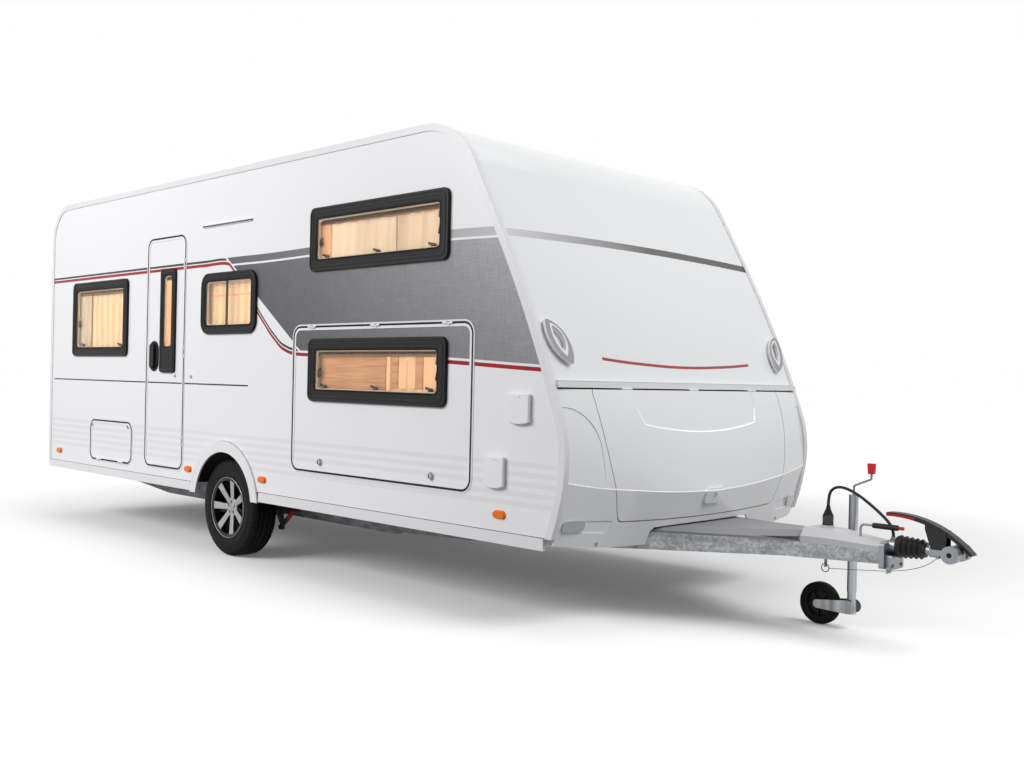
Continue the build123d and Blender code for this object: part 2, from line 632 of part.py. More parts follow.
def hinge_plane(row, side, edge, place):
    """Plane square to a hinge: its origin on the axis, local x from the leaf to its frame, local y out."""
    x0, x1, z0, z1 = row
    out = Vector(0, side, 0)
    if edge == "front":
        origin, to_frame = (AXLE + x1 + LEAF_GAP / 2, place), Vector(1, 0, 0)
        origin = (origin[0], side * (WALL_Y + AXIS_OUT), origin[1])
    else:
        z, up = (z1 + LEAF_GAP / 2, 1) if edge == "top" else (z0 - LEAF_GAP / 2, -1)
        origin, to_frame = (AXLE + place, side * (WALL_Y + AXIS_OUT), z), Vector(0, 0, up)
    return Plane(origin=origin, x_dir=to_frame, z_dir=to_frame.cross(out))


def knuckle(plane, start, way, bore=0):
    """One barrel of a hinge with its strap, from start along the axis; way is 1 on the frame."""
    with BuildSketch(plane.offset(start)) as section:
        Circle(BARREL_R)
        with Locations((way * STRAP_L / 2, STRAP_T / 2 - BARREL_R)):
            Rectangle(STRAP_L, STRAP_T)
        if bore:
            Circle(bore, mode=Mode.SUBTRACT)
    extrude(section.sketch, amount=BARREL_L)


def fixed_knuckles(name):
    for owner, row, side, edge, places in HINGES:
        if owner == name:
            for place in places:
                plane = hinge_plane(row, side, edge, place)
                knuckle(plane, -1.5 * BARREL_L - SEAT, 1)
                knuckle(plane, 0.5 * BARREL_L + SEAT, 1)
                with BuildSketch(plane.offset(-BARREL_L)) as pin:
                    Circle(PIN_R)
                extrude(pin.sketch, amount=2 * BARREL_L)


def moving_knuckles(name):
    for owner, row, side, edge, places in HINGES:
        if owner == name:
            for place in places:
                knuckle(hinge_plane(row, side, edge, place), -BARREL_L / 2, -1, bore=PIN_R + SEAT)


with BuildPart() as leaf_frames:
    for owner, row, side, edge, places in HINGES:
        leaf_frame(row, side)
        fixed_knuckles(owner)
save(leaf_frames, "door_and_hatch_frames")

for name, owner, row, window in (("entrance_door", "door", DOOR, DOOR_WINDOW),
                                 ("side_hatch", "hatch", HATCH, HATCH_WINDOW)):
    with BuildPart() as moving:
        leaf(row, RIGHT, window)
        locks(name, RIGHT)
        moving_knuckles(owner)
        if owner == "door":
            with BuildSketch(wall_face(RIGHT)) as catch:
                with Locations(DOOR_CATCH):
                    Circle(CATCH_R)
            extrude(catch.sketch, amount=CATCH_L, taper=12)
    save(moving, name)
    with BuildPart() as moving_frame:
        window_frame(wall_face(RIGHT), *window[1:])
    save(moving_frame, f"{owner}_window_frame")
    with BuildPart() as moving_pane:
        window_pane(wall_face(RIGHT), *window[1:])
    save(moving_pane, f"{owner}_window_pane")

for name, owner, row, side in (("service_flap", "service", SERVICE, RIGHT),
                               ("cassette_flap", "cassette", CASSETTE, LEFT)):
    with BuildPart() as moving:
        leaf(row, side)
        locks(name, side)
        moving_knuckles(owner)
    save(moving, name)

with BuildPart() as handle:
    x0, x1, z0, z1 = DOOR_HANDLE
    with BuildSketch(wall_face(RIGHT)):
        rounded(x0, x1, z0, z1, (x1 - x0) / 2 - 1)
    extrude(amount=9)
    fillet(handle.edges().group_by(Axis.Y)[0], 4)
    with BuildSketch(wall_face(RIGHT).offset(9)):
        rounded(x0 + 34, x1 - 34, z0 + 18, z1 - 18, (x1 - x0) / 2 - 35)
    extrude(amount=20)
    fillet(handle.edges().group_by(Axis.Y)[0], 6)
save(handle, "door_handle")

# Edge rails along the walls' rims and skirts under the sills
with BuildPart() as rails:
    for side in (RIGHT, LEFT):
        plane, depth = span(side, WALL_Y, WALL_Y + RAIL_T)
        with BuildSketch(plane):
            offset(body_face, amount=RAIL_T)
            offset(body_face, amount=-RAIL_W, mode=Mode.SUBTRACT)
            clip(-FAR, FAR, SILL_Z, FAR)
        extrude(amount=depth)
        plane, depth = span(side, INNER_Y + SEAT, WALL_Y)
        with BuildSketch(plane):
            offset(body_face, amount=RAIL_T)
            add(body_face, mode=Mode.SUBTRACT)
            clip(-FAR, FAR, SILL_Z, FAR)
        extrude(amount=depth)
        plane, depth = span(side, WALL_Y - SKIRT_T, WALL_Y + 4)
        with BuildSketch(plane):
            for x0, x1 in ((SKIRT_ENDS[0], -ARCH_LIP[1] - SEAT), (ARCH_LIP[1] + SEAT, SKIRT_ENDS[1])):
                with Locations(((x0 + x1) / 2, sum(SKIRT) / 2)):
                    Rectangle(x1 - x0, SKIRT[1] - SKIRT[0])
        extrude(amount=depth)
save(rails, "edge_rails_and_skirts")

# Wheel arches: trims on the walls and boxes over the wheels
with BuildPart() as arches:
    for side in (RIGHT, LEFT):
        plane, depth = span(side, WALL_Y, WALL_Y + ARCH_PROUD)
        with BuildSketch(plane):
            with Locations((0, ARCH_Z)):
                Circle(ARCH_LIP[1])
                Circle(ARCH_LIP[0], mode=Mode.SUBTRACT)
            clip(-FAR, FAR, SKIRT[0] - 8, FAR)
        extrude(amount=depth)
save(arches, "wheel_arch_trims")

with BuildPart() as boxes:
    for side in (RIGHT, LEFT):
        for far, inner in ((WALL_Y, ARCH_R - SEAT - BOX_T), (BOX_IN + BOX_T, 0)):
            plane, depth = span(side, BOX_IN, far)
            with BuildSketch(plane):
                with Locations((0, ARCH_Z)):
                    Circle(ARCH_R - SEAT)
                    if inner:
                        Circle(inner, mode=Mode.SUBTRACT)
                clip(-FAR, FAR, SILL_Z, FAR)
            extrude(amount=depth)
save(boxes, "wheel_boxes")

# Roof lights: a dome on a frame round each cut-out
with BuildPart() as roof_lights:
    with BuildSketch(Plane.XY.offset(ROOF_Z)):
        for x, y, length, width in ROOF_LIGHTS:
            with Locations((AXLE + x, y)):
                RectangleRounded(length + 90, width + 90, 60)
    extrude(amount=62, taper=12)
save(roof_lights, "roof_lights")

# Small fittings on the walls and the slope
with BuildPart() as markers:
    for side in (RIGHT, LEFT):
        with BuildSketch(wall_face(side)):
            with Locations(*[(-side * x, 564) for x in MARKERS]):
                SlotOverall(MARKER[0], MARKER[1])
        extrude(amount=MARKER[2], taper=25)
save(markers, "side_markers")


def grab_leaf(side, tip, inboard, foot, outboard, mode=Mode.ADD):
    """Leaf between two bows, pointed at its tip and its foot."""
    tip, inboard, foot, outboard = [(side * out, up) for out, up in (tip, inboard, foot, outboard)]
    with BuildSketch(mode=Mode.PRIVATE) as leaf:
        with BuildLine():
            ThreePointArc(tip, inboard, foot)
            ThreePointArc(foot, outboard, tip)
        make_face()
        fillet(leaf.vertices(), GRAB_ROUND)
    add(leaf.sketch, mode=mode)


with BuildPart() as fittings:
    proud, corner, soft = SERVICE_BOX
    base_proud, base_inset = SERVICE_BASE
    with BuildSketch(wall_face(RIGHT)):
        for row in SERVICE_BOXES:
            rounded(*row, corner, grow=-base_inset)
    extrude(amount=base_proud)
    with BuildSketch(wall_face(RIGHT).offset(base_proud)) as lids:
        for x0, x1, z0, z1 in SERVICE_BOXES:
            with BuildLine():
                low = ThreePointArc((x0, z0 + SERVICE_SAG), ((x0 + x1) / 2, z0), (x1, z0 + SERVICE_SAG))
                Polyline(low @ 1, (x1, z1), (x0, z1), low @ 0)
            make_face()
        fillet(lids.vertices(), corner)
    extrude(amount=proud - base_proud)
    fillet(fittings.edges().group_by(Axis.Y)[0], soft)
    latch_w, latch_h, latch_proud = SERVICE_LATCH
    with BuildSketch(wall_face(RIGHT).offset(proud)):
        with Locations(*[((x0 + x1) / 2, z1 - soft - latch_h) for x0, x1, z0, z1 in SERVICE_BOXES]):
            SlotOverall(latch_w, latch_h)
    extrude(amount=latch_proud)
    with BuildSketch(wall_face(RIGHT)):
        with Locations(WALL_CATCH):
            Circle(CATCH_R)
    extrude(amount=CATCH_L, taper=12)
    x0, x1, z, height, proud = AWNING_LIGHT
    with BuildSketch(wall_face(RIGHT)):
        with Locations(((x0 + x1) / 2, z)):
            SlotOverall(x1 - x0, height)
    extrude(amount=proud)
    for side in (RIGHT, LEFT):
        foot_z, head_z = (long_slope @ 0).Y, (long_slope @ 1).Y
        share = (GRAB[1] - foot_z) / (head_z - foot_z)
        place, rise = long_slope @ share, long_slope % share
        grab_plane = Plane(origin=(AXLE + place.X, side * GRAB[0], place.Y), x_dir=(0, 1, 0), z_dir=(rise.Y, 0, -rise.X))
        with BuildSketch(grab_plane.offset(GRAB[2])):
            grab_leaf(side, *GRAB_LEAF)
            grab_leaf(side, *GRAB_GRIP, mode=Mode.SUBTRACT)
        extrude(amount=GRAB[3])
        with BuildSketch(grab_plane.offset(GRAB[2])):
            for out, up, radius in GRAB_FEET:
                with Locations((side * out, up)):
                    Circle(radius)
        extrude(amount=-GRAB[2] - SEAT)
save(fittings, "wall_fittings")

# Rear moulding round the lamps, and the lamps at both ends
lamp_y, lamp_z, lamp_w, lamp_h, lamp_proud = REAR_LAMP
with BuildPart() as rear_bumper:
    with BuildSketch(REAR_FACE):
        with BuildLine():
            right_half = [(-y, z) for y, z in REAR_MOULD]
            left_half = [(y, z) for y, z in reversed(REAR_MOULD)]
            Polyline((-REAR_MOULD[0][0], REAR_MOULD_FOOT), *right_half, *left_half,
                     (REAR_MOULD[0][0], REAR_MOULD_FOOT), close=True)
        make_face()
        with Locations((-lamp_y, lamp_z), (lamp_y, lamp_z)):
            RectangleRounded(lamp_w + 2 * SEAT, lamp_h + 2 * SEAT, 30 + SEAT, mode=Mode.SUBTRACT)
    extrude(amount=REAR_MOULD_T)
save(rear_bumper, "rear_bumper")

with BuildPart() as lamp_shell:
    add(nose_shell(-SEAT, -FRONT_LAMP[4]))
    with BuildSketch(across(0)):
        for side in (RIGHT, LEFT):
            rounded(*sorted((side * FRONT_LAMP[0], side * FRONT_LAMP[1])), *FRONT_LAMP[2:4], 26)
    extrude(amount=FAR, mode=Mode.INTERSECT)

with BuildPart() as lamps:
    with BuildSketch(REAR_FACE):
        with Locations((-lamp_y, lamp_z), (lamp_y, lamp_z)):
            RectangleRounded(lamp_w, lamp_h, 30)
    extrude(amount=lamp_proud)
    with BuildSketch(REAR_FACE):
        with Locations((0, BRAKE_LAMP[0])):
            RectangleRounded(BRAKE_LAMP[1], BRAKE_LAMP[2], 8)
    extrude(amount=BRAKE_LAMP[3])
    add(lamp_shell.part)
save(lamps, "end_lamps")

# Road wheels
BEAD = 18                       # bead inside the tyre's widest
SIDE_R = RIM_R + 0.45 * (TYRE_R - RIM_R)
SHOULDER = (36, 20)             # tread edge inboard of the sidewall, shoulder below the tread
DISC_OUT, DISC_T = 45, 30       # outer face of the spokes behind the tyre's, thickness
HUB_R, BOLT_R, BOLT_CIRCLE, BOLTS = 62, 9, 40, 5
DRUM_IN = 124                   # back of the brake drum behind the wheel's middle
for name, side in SIDES:
    hub_plane = Plane(origin=(AXLE, side * TRACK_Y, TYRE_R), x_dir=(1, 0, 0), z_dir=(0, side, 0))
    section_plane = Plane(origin=hub_plane.origin, x_dir=(0, side, 0), z_dir=(side, 0, 0))
    hub_axis = Axis(hub_plane.origin, (0, 1, 0))
    half = TYRE_W / 2
    with BuildPart() as tyre:
        with BuildSketch(section_plane):
            with BuildLine():
                Polyline((half - BEAD, RIM_R - 12), (half, SIDE_R), (half - 12, TYRE_R - SHOULDER[1]),
                         (half - SHOULDER[0], TYRE_R), (SHOULDER[0] - half, TYRE_R),
                         (-half, TYRE_R - SHOULDER[1] - 8), (BEAD - half, RIM_R - 12), close=True)
            make_face()
        revolve(axis=hub_axis)
    save(tyre, f"tyre_{name}")
    with BuildPart() as rim:
        with BuildSketch(section_plane):
            with BuildLine():
                Polyline((half - BEAD, RIM_R - 13), (half - 10, RIM_R + 4), (half - 4, RIM_R + 4),
                         (half - 10, RIM_R - 20), (BEAD - half, RIM_R - 22), (BEAD - half, RIM_R - 13), close=True)
            make_face()
        revolve(axis=hub_axis)
        with BuildSketch(hub_plane.offset(half - DISC_OUT - DISC_T)):
            Circle(HUB_R)
            for turn in range(SPOKES):
                with Locations(Rotation(0, 0, 90 + turn * 360 / SPOKES)):
                    Polygon((50, -17), (RIM_R - 19, -14), (RIM_R - 19, 14), (50, 17), align=None)
            Circle(STUB_R + FIT, mode=Mode.SUBTRACT)
            with PolarLocations(BOLT_CIRCLE, BOLTS, start_angle=90):
                Circle(BOLT_R, mode=Mode.SUBTRACT)
        extrude(amount=DISC_T)
        with BuildSketch(hub_plane.offset(-DRUM_IN)):
            Circle(DRUM_R)
            Circle(STUB_R + FIT, mode=Mode.SUBTRACT)
        extrude(amount=DRUM_IN + half - DISC_OUT - DISC_T)
    save(rim, f"wheel_{name}")

# Axle: tube through the side members, trailing arms with their stubs, levers for the shock absorbers
tube_x, tube_z, tube_r = AXLE_TUBE
ARM = (MEMBER_Y + 56, MEMBER_Y + 88)
ARM_R, STUB_EYE_R = 62, 46
LEVER_PLATE = (MEMBER_Y + 24, MEMBER_Y + 32)
DAMPER_Y, DAMPER_R, ROD_R = MEMBER_Y + 46, 16, 8
EYE_R, EYE_W = 17, 20
LOW_PIN_R, HIGH_PIN_R = 8, 10
with BuildPart() as axle:
    with BuildSketch(upright(ARM[0])):
        with Locations((tube_x, tube_z)):
            RegularPolygon(tube_r, 6, major_radius=False)
    extrude(amount=2 * ARM[0])
    for side in (RIGHT, LEFT):
        plane, depth = span(side, *ARM)
        with BuildSketch(plane):
            with Locations((tube_x, tube_z)):
                Circle(ARM_R)
            with Locations((0, TYRE_R)):
                Circle(STUB_EYE_R)
            make_hull()
        extrude(amount=depth)
        plane, depth = span(side, ARM[1], TRACK_Y + TYRE_W / 2 - DISC_OUT - 5)
        with BuildSketch(plane):
            with Locations((0, TYRE_R)):
                Circle(STUB_R)
        extrude(amount=depth)
        plane, depth = span(side, *LEVER_PLATE)
        with BuildSketch(plane):
            with Locations((tube_x, tube_z)):
                Circle(tube_r + 8)
            with Locations(DAMPER_LOW):
                Circle(EYE_R + 1)
            make_hull()
        extrude(amount=depth)
        plane, depth = span(side, LEVER_PLATE[1], DAMPER_Y + EYE_W / 2 + 4)
        with BuildSketch(plane):
            with Locations(DAMPER_LOW):
                Circle(LOW_PIN_R)
        extrude(amount=depth)
save(axle, "axle")

with BuildPart() as dampers:
    low, high = Vector(*DAMPER_LOW), Vector(*DAMPER_HIGH)
    along = (high - low).normalized()
    length = (high - low).length
    for side in (RIGHT, LEFT):
        plane, depth = span(side, DAMPER_Y - EYE_W / 2, DAMPER_Y + EYE_W / 2)
        with BuildSketch(plane):
            with Locations(DAMPER_LOW, DAMPER_HIGH):
                Circle(EYE_R)
        extrude(amount=depth)
        for start, stop, radius in ((EYE_R - 5, 60, ROD_R), (50, length - EYE_R + 5, DAMPER_R)):
            base = low + along * start
            with BuildSketch(Plane(origin=(AXLE + base.X, side * DAMPER_Y, base.Y), z_dir=(along.X, 0, along.Y))):
                Circle(radius)
            extrude(amount=stop - start)
        for place, radius in ((DAMPER_LOW, LOW_PIN_R), (DAMPER_HIGH, HIGH_PIN_R)):
            with BuildSketch(plane):
                with Locations(place):
                    Circle(radius + SEAT)
            extrude(amount=depth, mode=Mode.SUBTRACT)
save(dampers, "shock_absorbers")


# Chassis: C sections lofted through their stations
def channel(x, web_y, low, top, side):
    """C section in the cross plane at x: web outboard, flanges inboard."""
    inner = web_y - FLANGE
    with BuildSketch(Plane(origin=(AXLE + x, 0, 0), x_dir=(0, side, 0), z_dir=(side, 0, 0))) as section:
        Polygon((web_y, low), (web_y, top), (inner, top), (inner, top - STEEL), (web_y - STEEL, top - STEEL),
                (web_y - STEEL, low + STEEL), (inner, low + STEEL), (inner, low), align=None)
    return section.sketch


def lofted(sections):
    for start, end in zip(sections, sections[1:]):
        loft([start, end], ruled=True)


for name, side in SIDES:
    with BuildPart() as member:
        lofted([channel(x, MEMBER_Y, low, MEMBER_TOP, side) for x, low in MEMBER])
        with BuildSketch(upright(MEMBER_Y * side + 20)):
            with Locations((tube_x, tube_z)):
                RegularPolygon(tube_r, 6, major_radius=False)
        extrude(amount=60, mode=Mode.SUBTRACT)
    save(member, f"side_member_{name}")
    with BuildPart() as drawbar:
        lofted([channel(x, y, low, DRAWBAR_TOP, side) for x, y, low in DRAWBAR])
    save(drawbar, f"drawbar_rail_{name}")

with BuildPart() as cross:
    for x in CROSS:
        with BuildSketch(across(x)):
            with Locations((0, (MEMBER_TOP - STEEL + CROSS_LOW) / 2)):
                Rectangle(2 * (MEMBER_Y - STEEL), MEMBER_TOP - STEEL - CROSS_LOW)
        extrude(amount=CROSS_L)
save(cross, "cross_members")


def rail_at(x):
    """Outer face and lower edge of a drawbar rail at x."""
    for (x0, y0, low0), (x1, y1, low1) in zip(DRAWBAR, DRAWBAR[1:]):
        if x0 <= x <= x1:
            share = (x - x0) / (x1 - x0)
            return y0 + share * (y1 - y0), low0 + share * (low1 - low0)


# Corner steadies beside the side members, folded up: a channel with a foot that lies flat when it is down
DOWN = 56                       # degrees from folded to down
CHANNEL_T = 4
FOOT = (70, 6, 84)              # length, thickness, width
for end, x, way in STEADIES:
    for name, side in SIDES:
        width, z, length = STEADY
        plane, depth = span(side, STEADY_Y - width / 2, STEADY_Y + width / 2)
        inside, inside_depth = span(side, STEADY_Y - width / 2 + CHANNEL_T, STEADY_Y + width / 2 - CHANNEL_T)
        with BuildPart() as steady:
            with BuildSketch(plane):
                Polygon((x - way * 20, z - 20), (x - way * 20, z + 20), (x + way * length, z + 8),
                        (x + way * length, z - 14), align=None)
            extrude(amount=depth)
            with BuildSketch(inside):
                Polygon((x + way * 26, z - 20 + CHANNEL_T), (x + way * 26, z + 30),
                        (x + way * (length - 12), z + 30), (x + way * (length - 12), z - 14 + CHANNEL_T), align=None)
            extrude(amount=inside_depth, mode=Mode.SUBTRACT)
            foot_plane, foot_depth = span(side, STEADY_Y - FOOT[2] / 2, STEADY_Y + FOOT[2] / 2)
            with BuildSketch(foot_plane):
                with Locations(Location((x + way * length, z - 3, 0), (0, 0, way * DOWN))):
                    Rectangle(FOOT[0], FOOT[1])
            extrude(amount=foot_depth)
            with BuildSketch(plane):
                with Locations((x, z)):
                    Circle(STEADY_PIN_R + FIT)
            extrude(amount=depth, mode=Mode.SUBTRACT)
        save(steady, f"steady_{end}_{name}")

# Jockey wheel
jx, jy = JOCKEY
tube_radius, tube_foot, tube_top = TUBE
leg_base = Plane(origin=(AXLE + jx, jy, 0))
with BuildPart() as outer_tube:
    with BuildSketch(leg_base.offset(tube_foot)):
        Circle(tube_radius)
        Circle(LEG_R + FIT, mode=Mode.SUBTRACT)
    extrude(amount=tube_top - tube_foot)
    with BuildSketch(leg_base.offset(tube_top)):
        Circle(tube_radius + 1)
    extrude(amount=8)
save(outer_tube, "jockey_outer_tube")

with BuildPart() as crank:
    with BuildLine() as rod:
        FilletPolyline((AXLE + jx, jy, tube_top + 8), (AXLE + jx, jy, tube_top + 55),
                       (AXLE + jx + CRANK_REACH, jy, KNOB_Z - 27), (AXLE + jx + CRANK_REACH, jy, KNOB_Z + 8), radius=12)
    with BuildSketch(Plane(origin=rod.line @ 0, z_dir=rod.line % 0)):
        Circle(6)
    sweep()
    with BuildSketch(leg_base.offset(KNOB_Z)):
        with Locations((CRANK_REACH, 0)):
            Circle(19)
    extrude(amount=54, taper=-4)
save(crank, "jockey_crank")

with BuildPart() as leg:
    with BuildSketch(leg_base.offset(LEG_FOOT)):
        Circle(LEG_R)
    extrude(amount=430)
    with BuildSketch(leg_base.offset(SPIGOT_FOOT)):
        Circle(SPIGOT_R)
    extrude(amount=LEG_FOOT - SPIGOT_FOOT)
save(leg, "jockey_leg")

wheel_x = jx - JOCKEY_TRAIL
with BuildPart() as fork:
    with BuildSketch(leg_base.offset(82)):
        Circle(tube_radius)
        Circle(SPIGOT_R + FIT, mode=Mode.SUBTRACT)
    extrude(amount=LEG_FOOT - SEAT - 82)
    for y in (jy - 35, jy + 40):
        with BuildSketch(upright(y)):
            with Locations((wheel_x, JOCKEY_R)):
                Circle(22)
            with Locations((jx, 118)):
                Circle(35)
            make_hull()
        extrude(amount=5)
    with BuildSketch(leg_base.offset(90)):
        Rectangle(30, 78)
        Circle(SPIGOT_R + FIT, mode=Mode.SUBTRACT)
    extrude(amount=50)
    with BuildSketch(Plane(origin=(AXLE + wheel_x, jy - 40, JOCKEY_R), x_dir=(1, 0, 0), z_dir=(0, 1, 0))):
        Circle(8)
    extrude(amount=80)
save(fork, "jockey_fork")

with BuildPart() as jockey_wheel:
    rim_half = JOCKEY_W / 2
    with BuildSketch(Plane(origin=(AXLE + wheel_x, jy, JOCKEY_R), x_dir=(0, 1, 0), z_dir=(1, 0, 0))):
        with BuildLine():
            Polyline((-rim_half, 8 + FIT), (rim_half, 8 + FIT), (rim_half, JOCKEY_R - 24), (rim_half - 16, JOCKEY_R),
                     (16 - rim_half, JOCKEY_R), (-rim_half, JOCKEY_R - 24), close=True)
        make_face()
    revolve(axis=Axis((AXLE + wheel_x, jy, JOCKEY_R), (0, 1, 0)))
save(jockey_wheel, "jockey_wheel")

# Steel brackets: the steadies' pivots, the shock absorbers' upper pins, the jockey wheel's clamp on the
# left drawbar rail, and the eye and ring for the breakaway cable under the right one
clamp_z, clamp_h = CLAMP
rail_y, _ = rail_at(jx)
near_y, _ = rail_at(jx - 60)
far_y, _ = rail_at(jx + 60)
with BuildPart() as brackets:
    for side in (RIGHT, LEFT):
        for end, x, way in STEADIES:
            width, z, length = STEADY
            for near in (STEADY_Y - width / 2 - 8, STEADY_Y + width / 2 + 2):
                plane, depth = span(side, near, near + 6)
                with BuildSketch(plane):
                    with Locations((x, (z - 15 + SILL_Z) / 2)):
                        Rectangle(60, SILL_Z - z + 15)
                extrude(amount=depth)
            plane, depth = span(side, STEADY_Y - width / 2 - 8, STEADY_Y + width / 2 + 8)
            with BuildSketch(plane):
                with Locations((x, z)):
                    Circle(STEADY_PIN_R)
            extrude(amount=depth)
        plane, depth = span(side, MEMBER_Y, DAMPER_Y + EYE_W / 2 + 4)
        with BuildSketch(plane):
            with Locations(DAMPER_HIGH):
                Circle(HIGH_PIN_R)
        extrude(amount=depth)
        plane, depth = span(side, MEMBER_Y, DAMPER_Y - DAMPER_R - 2)
        with BuildSketch(plane):
            with Locations(DAMPER_HIGH):
                Circle(EYE_R + 4)
        extrude(amount=depth)
    with BuildSketch(leg_base.offset(clamp_z)):
        Circle(tube_radius + CLAMP_WALL)
        with Locations((0, -(jy - rail_y) / 2)):
            Rectangle(50, jy - rail_y + 1)
        Circle(tube_radius + FIT, mode=Mode.SUBTRACT)
        with Locations((0, -jy)):
            Polygon((-60, near_y + SEAT), (60, far_y + SEAT), (60, 0), (-60, 0), align=None, mode=Mode.SUBTRACT)
    extrude(amount=clamp_h)
    ring_x, ring_y, ring_z, ring_r, wire = RING
    _, rail_low = rail_at(ring_x - 3)
    with BuildSketch(across(ring_x - 3)):
        with Locations((ring_y + 4, (ring_z + rail_low - SEAT) / 2 + 2)):
            Rectangle(20, rail_low - SEAT - ring_z - 4)
        with Locations((ring_y, ring_z + ring_r)):
            Circle(2 * wire, mode=Mode.SUBTRACT)
    extrude(amount=6)
    with Locations(Location((AXLE + ring_x, ring_y, ring_z), (90, 0, 0))):
        Torus(ring_r, wire)
save(brackets, "chassis_brackets")


# Drawbar covers: hollow mouldings on the rails, with the holder for the plug
def cover_section(x, half_width, shoulder, crown_half, crown, inset=0):
    foot = DRAWBAR_TOP - inset
    side_y, top_y = half_width - inset, crown_half - inset / 2
    with BuildSketch(across(x)) as section:
        Polygon((-side_y, foot), (side_y, foot), (side_y, shoulder - inset / 2), (top_y, crown - inset),
                (-top_y, crown - inset), (-side_y, shoulder - inset / 2), align=None)
    return section.sketch


plug_x, plug_y, plug_z, plug_r = PLUG
with BuildPart() as hollows:
    for rows in (REAR_COVER, FRONT_COVER):
        lofted([cover_section(*row, inset=COVER_T) for row in rows])

with BuildPart() as covers:
    for rows in (REAR_COVER, FRONT_COVER):
        lofted([cover_section(*row) for row in rows])
    with BuildSketch(Plane(origin=(AXLE + plug_x, plug_y, plug_z - 6))):
        Circle(plug_r + 6)
    extrude(amount=24)
    add(hollows.part, mode=Mode.SUBTRACT)
    with BuildSketch(Plane(origin=(AXLE + plug_x, plug_y, plug_z - 20))):
        Circle(plug_r + SEAT)
    extrude(amount=60, mode=Mode.SUBTRACT)
    with BuildSketch(Plane(origin=(AXLE + ROD_X, HANDBRAKE[0], DRAWBAR_TOP + 20))):
        Circle(HANDBRAKE[2] + SEAT)
    extrude(amount=60, mode=Mode.SUBTRACT)
    with BuildSketch(upright(0)):
        Polygon(*COVER_VENT, align=None)
    extrude(amount=REAR_COVER[0][1], both=True, mode=Mode.SUBTRACT)
save(covers, "drawbar_covers")

with BuildPart() as plug:
    with BuildSketch(Plane(origin=(AXLE + plug_x, plug_y, 0), x_dir=(1, 0, 0), z_dir=(0, -1, 0))):
        with BuildLine():
            Polyline((0, plug_z), (plug_r, plug_z), (plug_r, plug_z + 65), (PLUG_NECK_R + 4, PLUG_TOP - 20),
                     (PLUG_NECK_R, PLUG_TOP), (LEAD_R + SEAT, PLUG_TOP), (LEAD_R + SEAT, LEAD[0][2] - SEAT),
                     (0, LEAD[0][2] - SEAT), close=True)
        make_face()
    revolve(axis=Axis((AXLE + plug_x, plug_y, 0), (0, 0, 1)))
save(plug, "trailer_plug")


# Cords: straight runs joined by long tangent arcs
def cord(name, points, radius):
    route = [Vector(AXLE + x, y, z) for x, y, z in points]
    bends = []
    for before, corner, after in zip(route, route[1:], route[2:]):
        arriving, leaving = corner - before, after - corner
        half_turn = radians(arriving.get_angle(leaving)) / 2
        bends.append(0.45 * min(arriving.length, leaving.length) / tan(half_turn))
    with BuildPart() as tube:
        with BuildLine() as path:
            FilletPolyline(*route, radius=bends)
        with BuildSketch(Plane(origin=path.line @ 0, z_dir=path.line % 0)):
            Circle(radius)
        sweep()
    print(f"{name}: {path.wire().length:.0f} mm long, bends {', '.join(f'{bend:.0f}' for bend in bends)} mm")
    save(tube, name)


cord("trailer_lead", LEAD, LEAD_R)
cord("breakaway_cable", BRAKE, BRAKE_R)

# Overrun coupling
ball_x, ball_z = BALL
house_x, house_l, house_half, house_z0, house_z1 = HOUSING
gland_x, gland_y, gland_top, gland_r = GLAND
with BuildPart() as overrun:
    with BuildSketch(across(house_x)):
        with Locations((0, (house_z0 + house_z1) / 2)):
            RectangleRounded(2 * house_half, house_z1 - house_z0, 12)
    extrude(amount=house_l)
    with BuildSketch(across(house_x + house_l)):
        with Locations((0, ball_z)):
            Circle(SNOUT_R)
    extrude(amount=SNOUT_END - house_x - house_l)
    casting_half, casting_z0, casting_z1 = CASTING
    with BuildSketch(across(house_x + house_l)):
        with Locations((0, (casting_z0 + casting_z1) / 2)):
            RectangleRounded(2 * casting_half, casting_z1 - casting_z0, 10)
    extrude(amount=SNOUT_END - 4 - house_x - house_l)
    with BuildSketch(across(SNOUT_END - 4)):
        with Locations((-45, casting_z0 + 18), (45, casting_z0 + 18)):
            RegularPolygon(10, 6)
    extrude(amount=6)
    with BuildSketch(across(SNOUT_END - 9)):
        with Locations((-86, casting_z0 + 2)):
            Rectangle(52, 30)
        with Locations((-99.5, casting_z0)):
            Circle(4, mode=Mode.SUBTRACT)
    extrude(amount=3)
    with BuildSketch(Plane(origin=(AXLE + gland_x, gland_y, house_z1 - 2))):
        Circle(gland_r)
    extrude(amount=gland_top - house_z1 + 2)
    with BuildSketch(Plane(origin=(AXLE + gland_x, gland_y, LEAD[-1][2] - SEAT))):
        Circle(LEAD_R + SEAT)
    extrude(amount=60, mode=Mode.SUBTRACT)
    with BuildSketch(across(house_x - 1)):
        with Locations((0, ball_z)):
            Circle(DRAW_TUBE_R + FIT)
    extrude(amount=SNOUT_END - house_x + 2, mode=Mode.SUBTRACT)
save(overrun, "overrun_housing")

